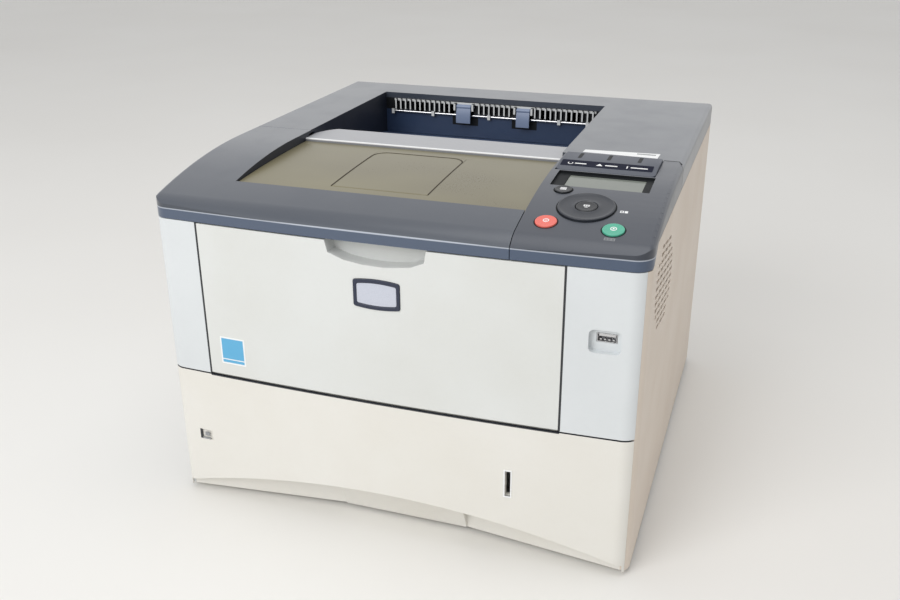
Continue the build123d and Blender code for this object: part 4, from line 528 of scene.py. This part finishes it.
def on_comb_front(at, normal):
    """Front faces of the comb and of the holders of the rod. Only these get the white, so the sides of the
    ribs keep the wall's dark colour as painted shade.
    """
    return at.y < wall_front_y - 0.3 and at.z > holder_foot_z and normal.y < -0.7


def in_output_well(at, normal):
    """Side walls of the output well, below the top surface, which get painted shade."""
    across = guide_low[0] - 1.0 < at.x < guide_high[0] + 1.0 and abs(normal.x) > 0.7
    return across and at.y > frame_rear_y and at.z < crown_z - 2.0


def beside_insert(at, normal):
    """Side walls of the opening that the insert lies in, which get painted shade."""
    across = guide_low[0] - 8.0 < at.x < guide_high[0] + 8.0 and abs(normal.x) > 0.7
    return across and frame_front_y < at.y < frame_rear_y


def on_cassette_edge(at, normal):
    """Top edge of the cassette's front, which only shows in the gap below the tray; painted dark as the
    shade in that gap.
    """
    return at.z > cassette_edge_z and normal.z > 0.3


# The comb's ribs: white front faces, with their sides left dark as painted shade.
paint(pieces["exit_guide"], guide_white, on_comb_front)
# Painted shade on the deep walls of the output well and of the insert's opening, and in the gap above the
# cassette.
paint(pieces["top_housing"], deep_shade_navy, in_output_well)
paint(pieces["top_cover"], deep_shade_navy, beside_insert)
paint(pieces["cassette_front"], deep_shade_navy, on_cassette_edge)
well_front_y, well_back_y = bar_low[1] - 34.0, bar_low[1] - 1.4


def in_display_well(at, normal):
    """Faces of the panel below its surface, where the display lies, which get painted shade."""
    inside = bar_low[0] + 3.0 < at.x < bar_high[0] + 2.0 and well_front_y < at.y < well_back_y
    return inside and at.z < top_height(at.y) - 0.7


# %% [markdown]
# Everything printed or stuck on the printer follows one of two curved faces: the bowed front
# and the crown of the top. Both are parts of round cylinders, so their height and tilt come
# from a formula, and each label, mark or key is drawn flat and then set on the plane that
# touches the face at its middle.

# %% Planes that touch the curved faces
front_bow = 5.0
bow_radius = (half_width**2 + front_bow**2) / (2 * front_bow)
crown_start_y = front_y + 139.1
crown_radius = 500.0


def top_height(y):
    """Height of the top surface at a depth, in millimetres."""
    below = max(crown_start_y - y, 0.0)
    return crown_z - (crown_radius - sqrt(crown_radius**2 - below**2))


def touching(origin, across, along):
    """Matrix that takes flat millimetres to a plane in metres."""
    across, along = Vector(across), Vector(along)
    turned = Matrix((across, along, across.cross(along))).transposed().to_4x4()
    return Matrix.Translation(Vector(origin) * MM) @ turned @ Matrix.Scale(MM, 4)


def on_top(x, y):
    """Plane on the crown."""
    tilt = asin(max(crown_start_y - y, 0.0) / crown_radius)
    return touching((x, y, top_height(y)), (1, 0, 0), (0, cos(tilt), sin(tilt)))


def on_front(x, z):
    """Plane on the bowed front."""
    turn_here = asin(x / bow_radius)
    y = front_y + bow_radius - sqrt(bow_radius**2 - x**2)
    return touching((x, y, z), (cos(turn_here), sin(turn_here), 0), (0, 0, 1))


def on_bar(x, y):
    """Plane on the slope of the light bar."""
    rise, run = bar_high[2] - crown_z + 0.2, 19.0
    slope = atan2(rise, run)
    z = crown_z - 0.2 + rise * (y - bar_low[1]) / run
    return touching((x, y, z), (1, 0, 0), (0, cos(slope), sin(slope)))


def flat(x, y, z):
    """Level plane."""
    return touching((x, y, z), (1, 0, 0), (0, 1, 0))


# Painted shade: the faces of the display's well are coloured dark.
paint(pieces["control_panel"], dark_recess, in_display_well)
print("top at the keys", round(top_height(front_y + 53.6), 2))

# %% [markdown]
# A printed mark could be a picture on the surface, but the printer has no pictures, only plain
# shapes. Each is a thin closed plate cut along its outline, a fifth of a millimetre thick, as a
# label or a pad of ink is. One function cuts any set of outlines out of one sheet.

# %% Outlines and the plates cut along them
def bar_shape(x, y, wide, tall, corner=0.0):
    """Rectangle round a middle, with rounded corners if asked."""
    if not corner:
        steps = [(-1, -1), (1, -1), (1, 1), (-1, 1)]
        return [(x + a * wide / 2, y + b * tall / 2) for a, b in steps]
    points = []
    for quarter, (a, b) in enumerate([(1, 1), (-1, 1), (-1, -1), (1, -1)]):
        middle = (x + a * (wide / 2 - corner), y + b * (tall / 2 - corner))
        for step in range(6):
            angle = pi / 2 * (quarter + step / 5)
            points.append((middle[0] + corner * cos(angle), middle[1] + corner * sin(angle)))
    return points


def arc_shape(x, y, radius, thick, start=0.0, end=2 * pi, steps=24):
    """Band along part of a circle."""
    angles = [start + (end - start) * step / steps for step in range(steps + 1)]
    outer = [(x + radius * cos(a), y + radius * sin(a)) for a in angles]
    bore = radius - thick
    inner = [(x + bore * cos(a), y + bore * sin(a)) for a in reversed(angles)]
    return outer + inner


def frame_shape(x, y, wide, tall, thick):
    """The four sides of a rectangular frame."""
    sides = [(x, y + (tall - thick) / 2, wide, thick), (x, y - (tall - thick) / 2, wide, thick)]
    sides += [(x + a * (wide - thick) / 2, y, thick, tall - 2 * thick) for a in (-1, 1)]
    return [bar_shape(*side) for side in sides]


def closed_mesh(name, work):
    """Mesh of closed forms, with its faces turned outward."""
    bmesh.ops.recalc_face_normals(work, faces=work.faces)
    mesh = bpy.data.meshes.new(name)
    work.to_mesh(mesh)
    work.free()
    return mesh


def plates(name, body, slot, material, place, shapes, low, high):
    """Closed plates between two heights above a plane, as one piece."""
    work = bmesh.new()
    for shape in shapes:
        ring = [work.verts.new(place @ Vector((x, y, low))) for x, y in shape]
        lid = [work.verts.new(place @ Vector((x, y, high))) for x, y in shape]
        work.faces.new(lid)
        work.faces.new(list(reversed(ring)))
        for here in range(len(shape)):
            there = (here + 1) % len(shape)
            work.faces.new((ring[here], ring[there], lid[there], lid[here]))
    return settle(link(name, closed_mesh(name, work), material), body)


print("outline tools ready")

# %% [markdown]
# The keys are turned shapes: a cap with a raised rim and a shallow dish, and below the panel a
# flange that holds it in. A lathe would cut them from a profile, and so does this function. It
# spins each profile point round the key's own axis and closes the ends on it.

# %% Keys turned from their profiles
def turned(name, place, material, profile, steps=72):
    """Closed solid spun from points (radius, height)."""
    work = bmesh.new()
    rings = []
    for radius, height in profile:
        if radius == 0.0:
            rings.append([work.verts.new(place @ Vector((0.0, 0.0, height)))] * steps)
        else:
            angles = [2 * pi * step / steps for step in range(steps)]
            spots = [(radius * cos(a), radius * sin(a), height) for a in angles]
            rings.append([work.verts.new(place @ Vector(spot)) for spot in spots])
    closed = profile[0][0] > 0.0
    for low, high in zip(rings, rings[1:] + (rings[:1] if closed else [])):
        for step in range(steps):
            after = (step + 1) % steps
            corners = (low[step], low[after], high[after], high[step])
            corners = list(dict.fromkeys(corners))
            if len(corners) > 2:
                work.faces.new(corners)
    return soften(link(name, closed_mesh(name, work), material), 0.0)


def key_piece(node, place, material, profile):
    """Turned key that replaces its plain solid."""
    piece = turned(node + "_finished", place, material, profile)
    settle(piece, frame["nodes"][node]["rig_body"])
    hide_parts(node)


def button_profile(radius, flange_top, rim=0.5):
    """Push button: plunger, flange, stem, rim and a slightly dished top."""
    foot = [(0.0, flange_top - 3.5), (1.5, flange_top - 3.5), (1.5, flange_top - 0.9)]
    flange = [(radius + 0.9, flange_top - 0.9), (radius + 0.9, flange_top)]
    side = [(radius, flange_top), (radius, 0.55), (radius - 0.12, 0.85), (radius - 0.45, 1.05)]
    top = [(radius - 0.9 - rim / 2, 1.1), (radius - 1.2 - rim, 0.9), (radius / 2, 0.86), (0.0, 0.9)]
    return foot + flange + side + top


key_radius, menu_radius, ring_radius = 7.7, 6.4, 20.5
panel_x = half_width - 95.5
menu_at = (panel_x + 18.5, front_y + 78.1)
cursor_at = (panel_x + 40.8, front_y + 53.6)
cancel_at = (panel_x + 17.9, front_y + 28.6)
go_at = (panel_x + 65.1, front_y + 26.6)
flange_top, ok_flange_top, ring_top = -2.7, -4.2, -3.2
flange_reach, flange_thick = 0.9, 0.9
key_piece("menu_key", on_top(*menu_at), key_black, button_profile(menu_radius, flange_top))
key_piece("cancel_key", on_top(*cancel_at), key_red, button_profile(key_radius, flange_top))
key_piece("go_key", on_top(*go_at), key_green, button_profile(key_radius, flange_top))
key_piece("ok_key", on_top(*cursor_at), key_black, button_profile(key_radius, ok_flange_top, rim=1.0))
ring_bore, ring_step, ring_flange = key_radius + 0.4, key_radius + 3.0, ring_radius + flange_reach
ring = [(ring_bore, ring_top), (ring_step, ring_top), (ring_step, ring_top - flange_thick)]
ring += [(ring_flange, ring_top - flange_thick), (ring_flange, ring_top), (ring_radius, ring_top)]
ring += [(ring_radius, 0.6), (20.3, 1.0), (19.8, 1.25), (19.1, 1.2), (18.3, 0.75), (16.0, 0.45)]
ring += [(12.0, 0.4), (9.8, 0.6), (9.0, 0.95), (8.4, 0.95), (ring_bore, 0.6)]
key_piece("cursor_key", on_top(*cursor_at), key_grey, ring)
print("keys at", [tuple(round(v, 1) for v in at) for at in (menu_at, cursor_at, cancel_at, go_at)])

# %% [markdown]
# The symbols on the keys are plain marks, such as a ring, a dot or a few bars. They lie on the
# caps and move down with them.

# %% Symbols on the keys and marks beside them
white, grey = ("white_plastic", print_white), ("crest_grey", print_grey)
cap_top = 0.8
symbol = (cap_top, cap_top + 0.35)
menu_marks = [bar_shape(0.0, 1.5 - 1.5 * row, 4.6, 0.7) for row in range(3)]
plates("menu_symbol", "menu_key", *white, on_top(*menu_at), menu_marks, *symbol)
cancel_marks = [arc_shape(0.0, 0.4, 2.2, 0.6), bar_shape(0.0, 0.4, 1.8, 0.6)]
plates("cancel_symbol", "cancel_key", *white, on_top(*cancel_at), cancel_marks, *symbol)
arrow = [(-0.6, -0.7), (1.0, 0.4), (-0.6, 1.5)]
go_marks = [arc_shape(0.0, 0.4, 2.3, 0.6), arrow]
plates("go_symbol", "go_key", *white, on_top(*go_at), go_marks, *symbol)
ok_places = [(-1.6 + 1.6 * column, 1.4 - 1.3 * row) for column in range(3) for row in range(2)]
ok_marks = [bar_shape(*place, 1.2, 0.8) for place in ok_places] + [bar_shape(0.0, -1.6, 2.4, 0.6)]
plates("ok_symbol", "ok_key", *white, on_top(*cursor_at), ok_marks, *symbol)
ink = (-0.1, 0.06)
side_place = on_top(half_width - 28.0, front_y + 52.1)
side_marks = frame_shape(-1.4, 0.0, 2.6, 3.0, 0.7) + [bar_shape(1.6, 0.0, 2.2, 3.0)]
plates("side_mark", "printer", *white, side_place, side_marks, *ink)
lower_place = on_top(half_width - 31.0, front_y + 15.6)
grid = [bar_shape(0.0, 1.3 - 1.3 * row, 7.0, 0.55) for row in range(3)]
grid += [bar_shape(-3.4 + 2.3 * column, 0.0, 0.5, 3.2) for column in range(4)]
plates("lower_mark", "printer", *grey, lower_place, grid, *ink)
print("marks of the keys", len(ok_marks) + len(grid))

# %% [markdown]
# The light bar carries a black strip with three marks and, behind it, three dark windows that
# the status lights shine through. The words of a real printer have no place on a part for
# everyone, so short pale bars stand where they would be.

# %% Light bar, strip and windows
strip_middle = ((bar_low[0] + bar_high[0]) / 2 - 0.8, bar_low[1] + 13.5)
strip_place = on_bar(*strip_middle)
strip = bar_shape(0.0, 0.0, bar_high[0] - bar_low[0] - 5.0, 11.0, 0.8)
plates("light_strip", "printer", "black_gloss", gloss_black, strip_place, [strip], -0.2, 0.12)
arc_x, triangle_x, stroke_x = (x - strip_middle[0] for x in (107.0, 129.7, 151.0))
words = ((115.0, 9.0), (138.8, 9.5), (160.2, 13.0))
marks = [arc_shape(arc_x, -0.6, 2.1, 0.7, radians(-220), radians(40), 14)]
marks += [[(triangle_x - 2.5, -2.2), (triangle_x + 2.5, -2.2), (triangle_x, 1.8)]]
marks += [bar_shape(stroke_x, -0.2, 0.9, 3.4), bar_shape(stroke_x, -2.6, 0.9, 0.7)]
marks += [bar_shape(x - strip_middle[0], -0.6, wide, 1.6, 0.3) for x, wide in words]
plates("strip_marks", "printer", *white, strip_place, marks, 0.05, 0.2)
dark_seams_and_shade = ("printer", "black_gloss", dark_recess)
window = bar_shape(0.0, 0.0, 3.0, 15.0, 1.2)
for number, window_x in enumerate((111.0, 134.0, 158.0)):
    place = flat(window_x, bar_low[1] + 33.5, bar_high[2])
    plates(f"light_window_{number + 1}", *dark_seams_and_shade, place, [window], -0.3, 0.05)
label_place = flat(half_width - 52.5, bar_high[1] + 14.5, crown_z)
label = [(-30.5, -5.0), (30.0, -7.6), (30.5, 6.6), (-30.0, 2.8)]
label_line = bar_shape(20.0, 1.6, 15.0, 3.2)
plates("top_label", "printer", *white, label_place, [label], -0.05, 0.1)
plates("top_label_line", "printer", *grey, label_place, [label_line], 0.05, 0.14)
print("marks on the strip", len(marks))

# %% [markdown]
# The paper stopper lies flush in the beige insert, and dust has darkened the seam round it. The
# insert is a slice of a very large cylinder, so the seam is a thin line whose points follow
# that curve, swept as one closed band from the left front corner to the right one.

# %% Dark seam round the stopper
insert_radius, insert_crest_y, insert_crest_z = 1700.0, front_y + 161.1, crown_z - 6.9


def insert_height(y):
    """Height of the insert's surface at a depth, in millimetres."""
    return insert_crest_z - insert_radius + sqrt(insert_radius**2 - (y - insert_crest_y)**2)


def on_insert(x, y, above):
    """Point above the insert."""
    return x, y, insert_height(y) + above


def line_on(name, body, slot, material, spots, wide, low, high, place):
    """Closed thin band along spots of a surface, where place turns a spot and a height into a point."""
    work = bmesh.new()
    rings = []
    for number, (x, y) in enumerate(spots):
        before, after = spots[max(number - 1, 0)], spots[min(number + 1, len(spots) - 1)]
        ahead = (Vector(after) - Vector(before)).normalized()
        aside = Vector((-ahead.y, ahead.x)) * wide / 2
        corners = [(x - aside.x, y - aside.y), (x + aside.x, y + aside.y)]
        places = [(*corners[0], low), (*corners[1], low), (*corners[1], high), (*corners[0], high)]
        rings.append([work.verts.new(Vector(place(*spot)) * MM) for spot in places])
    for first, second in zip(rings, rings[1:]):
        for side in range(4):
            following = (side + 1) % 4
            work.faces.new((first[side], first[following], second[following], second[side]))
    work.faces.new(rings[0])
    work.faces.new(rings[-1])
    return settle(link(name, closed_mesh(name, work), material), body)


stopper_low, stopper_high = corners_of("paper_stopper")
pin_reach, seam_offset, corner_radius = 2.5, 0.3, 12.3
ink_low, ink_high = -0.3, 0.06
stopper_left = stopper_low[0] + pin_reach - seam_offset
stopper_right = stopper_high[0] - pin_reach + seam_offset
stopper_front, stopper_rear = stopper_low[1] + 1.2, stopper_high[1] + seam_offset
bend_y = stopper_rear - corner_radius
side_ys = [stopper_front + (bend_y - stopper_front) * step / 12 for step in range(12)]
turns = [pi / 2 * step / 8 for step in range(9)]
bend_x = stopper_left + corner_radius
left_bend = [(bend_x - corner_radius * cos(a), bend_y + corner_radius * sin(a)) for a in turns]
right_bend = [(stopper_left + stopper_right - x, y) for x, y in reversed(left_bend)]
seam = [(stopper_left, y) for y in side_ys] + left_bend + right_bend
seam += [(stopper_right, y) for y in reversed(side_ys)]
line_on("stopper_seam", "top_cover", "insert_beige", seam_brown, seam, 1.2, ink_low, ink_high, on_insert)
corner_y = stopper_rear - corner_radius / 2
slope = asin((insert_crest_y - corner_y) / insert_radius)
corner_middle = (0, corner_y, insert_height(corner_y))
corner_place = touching(corner_middle, (1, 0, 0), (0, cos(slope), sin(slope)))
beige = ("top_cover", "insert_beige", insert_beige)
left_corner = ("left", stopper_left - seam_offset, left_bend)
right_corner = ("right", stopper_right + seam_offset, right_bend)
for label, outer, bend in (left_corner, right_corner):
    shape = [(outer, stopper_rear + seam_offset - corner_y)] + [(x, y - corner_y) for x, y in bend]
    plates(f"insert_corner_{label}", *beige, corner_place, [shape], -1.4, 0.0)
print("seam points", len(seam))

# %% [markdown]
# Seams round the keys and behind the key panel are dark lines that follow the crown, so their
# points are placed by the same curve. The wall of the output well is notched behind each
# hold-down flap, and a dark plate, painted shade, stands for the shadowed notch.

# %% Dark rims of the keys, seam behind the panel and painted shade in the notches of the flaps
def on_crown(x, y, above):
    """Point above the crown."""
    spot = on_top(x, y) @ Vector((0.0, 0.0, above))
    return tuple(spot / MM)


turns = [2 * pi * step / 60 for step in range(60)]
small_rim, menu_rim, ring_rim = key_radius + 0.6, menu_radius + 0.6, ring_radius + 0.6
rims = {"menu": (menu_at, menu_rim), "cancel": (cancel_at, small_rim), "go": (go_at, small_rim)}
rims["ring"] = (cursor_at, ring_rim)
for label, ((x, y), radius) in rims.items():
    rim = [(x + radius * cos(a), y + radius * sin(a)) for a in turns]
    line_on(f"key_rim_{label}", *dark_seams_and_shade, rim + rim[:1], 0.7, ink_low, 0.05, on_crown)
panel_back_y = crown_start_y + 28.0
panel_line = [(bar_high[0] + 0.2, panel_back_y), (half_width - 5.0, panel_back_y)]
panel_line += [(half_width - 2.2, panel_back_y - 7.0)]
line_on("panel_seam", *dark_seams_and_shade, panel_line, 1.1, ink_low, ink_high, on_crown)
# Painted shade: a dark plate in the notch behind each flap.
for label in ("left", "right"):
    low_x, high_x = (corner[0] for corner in corners_of(f"paper_flap_{label}"))
    place = touching(((low_x + high_x) / 2, wall_front_y, 257.0), (1, 0, 0), (0, 0, 1))
    notch = bar_shape(0.0, 0.0, high_x - low_x + 6.4, 11.0)
    plates(f"flap_notch_{label}", *dark_seams_and_shade, place, [notch], ink_low, ink_high)
print("rims", len(rims))

# %% [markdown]
# The tray's gap to the covers beside it is deep, and a deep gap looks black. A gap of a
# millimetre still lets light in here, so black strips lie on the fixed edges beside the tray and
# on the cassette's edge below it as a painted shadow. They leave the tray itself free to fold down.

# %% Painted shadow in the seams round the front tray
def out_of_front(x, z, out):
    """Point in front of the bowed face."""
    return x, front_y + bow_radius - sqrt(bow_radius**2 - x**2) - out, z


tray_foot_z, lip_foot_z = 119.8, corners_of("control_panel")[0][2]
gap_left, gap_right = 39.3 - half_width, half_width - 56.8
seam_middle, seam_tall = (tray_foot_z + lip_foot_z) / 2, lip_foot_z - tray_foot_z - 0.4
seam_bar = bar_shape(0.0, 0.0, 1.5, seam_tall)
# Painted shadow: black strips in the deep gaps beside the tray.
for label, seam_x in (("left", gap_left - 0.35), ("right", gap_right + 0.35)):
    place = on_front(seam_x, seam_middle)
    plates(f"front_seam_{label}", "printer", "black_gloss", print_and_shadow_black, place, [seam_bar], -0.8, ink_high)
line_start, line_end = gap_left - 0.6, gap_right + 0.6
line_xs = [line_start + (line_end - line_start) * step / 24 for step in range(25)]
line_spots = [(x, tray_foot_z - 1.6) for x in line_xs]
black_edge = ("cassette", "key_grey", print_and_shadow_black)
# Painted shadow: a black strip on the cassette's edge below the tray.
line_on("front_seam_low", *black_edge, line_spots, 0.8, -0.4, ink_high, out_of_front)
print("front seams, middle at", round(seam_middle, 2))

# %% [markdown]
# On the front sit the bare badge plate, a plain blue sticker with a white border, a dark size
# mark and the pale rim of the paper gauge. They lie on the planes that touch the bowed front.

# %% Badge plate, sticker, size mark and gauge rim
badge_low, badge_high = corners_of("badge")
badge_x, badge_z = (badge_low[0] + badge_high[0]) / 2, (badge_low[2] + badge_high[2]) / 2
badge_rim, badge_bow, arc_rise = 5.6, 3.2, 1.2
badge_wide = badge_high[0] - badge_low[0] - badge_rim
badge_tall = badge_high[2] - badge_low[2] - badge_bow - badge_rim
parts = [step / 10 for step in range(11)]
top_arc = [(badge_wide * (0.5 - part), badge_tall / 2 + arc_rise * sin(pi * part)) for part in parts]
bottom_arc = [(-x, -y) for x, y in top_arc]
badge_place = touching((badge_x, badge_low[1], badge_z), (1, 0, 0), (0, 0, 1))
silver = ("mp_tray", "badge_trim", badge_silver)
plates("badge_plate", *silver, badge_place, [top_arc + bottom_arc], -1.7, -0.55)
sticker_place = on_front(-129.5, 142.7)
sticker_border = bar_shape(0.0, 0.0, 22.0, 23.5, 0.6)
sticker_field = [bar_shape(0.0, 1.7, 19.5, 17.6), bar_shape(0.0, -9.2, 19.5, 2.4)]
plates("sticker_border", "mp_tray", *white, sticker_place, [sticker_border], -0.3, 0.12)
plates("sticker_field", "mp_tray", "key_grey", sticker_blue, sticker_place, sticker_field, 0.05, 0.18)
mark_place = on_front(-165.5, 59.5)
size_stroke = bar_shape(-3.6, 0.0, 1.6, 8.6)
size_bars = [bar_shape(1.5, -3.6, 7.0, 1.1), bar_shape(2.4, 0.6, 4.2, 3.0)]
plates("size_mark", *black_edge, mark_place, [size_stroke], -0.8, 0.1)
plates("size_mark_bars", "cassette", *grey, mark_place, size_bars, -0.8, 0.1)
gauge_place = on_front(97.55, 68.0)
gauge_frame = frame_shape(0.0, 0.0, 6.4, 24.0, 1.0)
plates("gauge_rim", "cassette", *white, gauge_place, gauge_frame, -1.5, 0.35)
usb_low, usb_high = corners_of("usb_socket")
usb_middle = ((usb_low[0] + usb_high[0]) / 2, usb_low[1], usb_low[2] + 1.7)
usb_place = touching(usb_middle, (1, 0, 0), (0, 0, 1))
contacts = [bar_shape(-4.5 + 3.0 * pin, 0.0, 1.4, 1.0) for pin in range(4)]
steel = ("printer", "bright_steel", shaft_steel)
plates("usb_contacts", *steel, usb_place, contacts, -3.0, -0.6)
print("marks on the front done")

# %% [markdown]
# The rear panel is held by rows of screws. A screw is modelled once, as a turned head with a
# round recess, and Geometry Nodes repeats it: a line of points, an instance on each, then
# Realize Instances, because only plain mesh is exported, and Set Material. The inputs of the
# tree give the count and the step, so that one tree serves every row.

# %% Rows of screws from one Geometry Nodes tree
def row_tree():
    """Tree that repeats an object along a line."""
    tree = bpy.data.node_groups.new("row of pieces", "GeometryNodeTree")
    kinds = {"Piece": "Object", "Count": "Int", "Start": "Vector", "Step": "Vector", "Finish": "Material"}
    for label, kind in kinds.items():
        tree.interface.new_socket(label, in_out="INPUT", socket_type="NodeSocket" + kind)
    tree.interface.new_socket("Geometry", in_out="OUTPUT", socket_type="NodeSocketGeometry")
    add = tree.nodes.new
    given, line, info = add("NodeGroupInput"), add("GeometryNodeMeshLine"), add("GeometryNodeObjectInfo")
    copies, real = add("GeometryNodeInstanceOnPoints"), add("GeometryNodeRealizeInstances")
    dress, result = add("GeometryNodeSetMaterial"), add("NodeGroupOutput")
    line.mode = "OFFSET"
    joins = (
        (given, "Piece", info, "Object"), (given, "Count", line, "Count"),
        (given, "Start", line, "Start Location"), (given, "Step", line, "Offset"),
        (line, "Mesh", copies, "Points"), (info, "Geometry", copies, "Instance"),
        (copies, "Instances", real, "Geometry"), (real, "Geometry", dress, "Geometry"),
        (given, "Finish", dress, "Material"), (dress, "Geometry", result, "Geometry"),
    )
    for start, leaves, end, enters in joins:
        tree.links.new(start.outputs[leaves], end.inputs[enters])
    return tree


rows = row_tree()


def row(name, body, slot, model, material, count, start, step):
    """Plain mesh of one row, made by the tree and kept without it."""
    piece = link(name, bpy.data.meshes.new(name), material)
    modifier = piece.modifiers.new("row", "NODES")
    modifier.node_group = rows
    first, offset = (tuple(value * MM for value in place) for place in (start, step))
    values = {"Piece": model, "Count": count, "Start": first, "Step": offset, "Finish": material}
    for item in rows.interface.items_tree:
        if item.in_out == "INPUT":
            modifier[item.identifier] = values[item.name]
    kept(piece)
    print(name, len(piece.data.polygons), "faces")
    return settle(piece, body)


behind = touching((0, 0, 0), (-1, 0, 0), (0, 0, 1))
screw_profile = [(0.0, -3.0), (1.4, -3.0), (1.4, -0.2), (3.2, -0.2), (3.4, 0.4), (3.0, 1.2)]
screw_profile += [(2.0, 1.7), (1.2, 1.8), (1.0, 0.8), (0.0, 0.7)]
screw = turned("screw", behind, shaft_steel, screw_profile, 24)
panel_edge, screw_y = corners_of("rear_panel")[1][:2]
panel_edge, screw_y = panel_edge - 7.0, screw_y - 0.2
for side, label in ((-1, "right"), (1, "left")):
    start = (side * panel_edge, screw_y, 24.0)
    row(f"rear_screws_{label}", *steel[:2], screw, shaft_steel, 3, start, (0, 0, 100.0))
start = (-panel_edge + 60.0, screw_y, 30.0)
row("rear_screws_low", *steel[:2], screw, shaft_steel, 3, start, (90.0, 0, 0))
bpy.data.objects.remove(screw)

# %% [markdown]
# The stage is one wide pale floor under a plain soft light. The background is white to the
# camera and to reflections, but gives the object only a gentle fill, so that a colour renders
# about as it is written.

# %% Floor, world and lamps
floor_mesh = bpy.data.meshes.new("floor")
work = bmesh.new()
bmesh.ops.create_grid(work, x_segments=8, y_segments=8, size=9.0)
work.to_mesh(floor_mesh)
work.free()
floor_finish = Finish("pale_floor", shade(238, 237, 234), 0.55)
floor_clouds = floor_finish.noise(0.5, 4.0)
floor_colour = floor_finish.blend(floor_clouds, shade(240, 239, 236), shade(234, 232, 228))
floor_finish.feed("Base Color", floor_colour)
floor_finish.feed("Roughness", floor_clouds * 0.1 + 0.5)
floor = link("floor", floor_mesh, floor_finish.material)

world = bpy.data.worlds.new("studio")
scene.world = world
world.use_nodes = True
sky = world.node_tree.nodes["Background"]
sky.inputs["Color"].default_value = (1.0, 1.0, 1.0, 1.0)
paths = world.node_tree.nodes.new("ShaderNodeLightPath")
FILL, WHITE = 0.52, 1.0


def world_math(operation, first, second):
    """One Math node of the world's tree."""
    node = world.node_tree.nodes.new("ShaderNodeMath")
    node.operation = operation
    for socket, value in zip(node.inputs, (first, second)):
        if isinstance(value, float):
            socket.default_value = value
        else:
            world.node_tree.links.new(value, socket)
    return node.outputs[0]


seen = world_math("MAXIMUM", paths.outputs["Is Camera Ray"], paths.outputs["Is Glossy Ray"])
seen = world_math("MAXIMUM", seen, paths.outputs["Is Transmission Ray"])
strength = world_math("ADD", world_math("MULTIPLY", seen, WHITE - FILL), FILL)
world.node_tree.links.new(strength, sky.inputs["Strength"])


def lamp(name, place, size, power, colour=(1.0, 1.0, 1.0)):
    """Soft square lamp aimed at the middle of the printer."""
    data = bpy.data.lights.new(name, "AREA")
    data.shape = "SQUARE"
    data.size, data.energy, data.color = size, power, colour
    light = bpy.data.objects.new(name, data)
    scene.collection.objects.link(light)
    aim = Vector((0.0, 0.0, 0.16)) - Vector(place)
    light.location = place
    light.rotation_euler = aim.to_track_quat("-Z", "Y").to_euler()


lamp("window", (-0.75, -1.85, 1.5), 1.4, 26.0)
lamp("ceiling", (0.2, -0.1, 2.2), 1.6, 12.0)
print("lamps", len(bpy.data.lights))
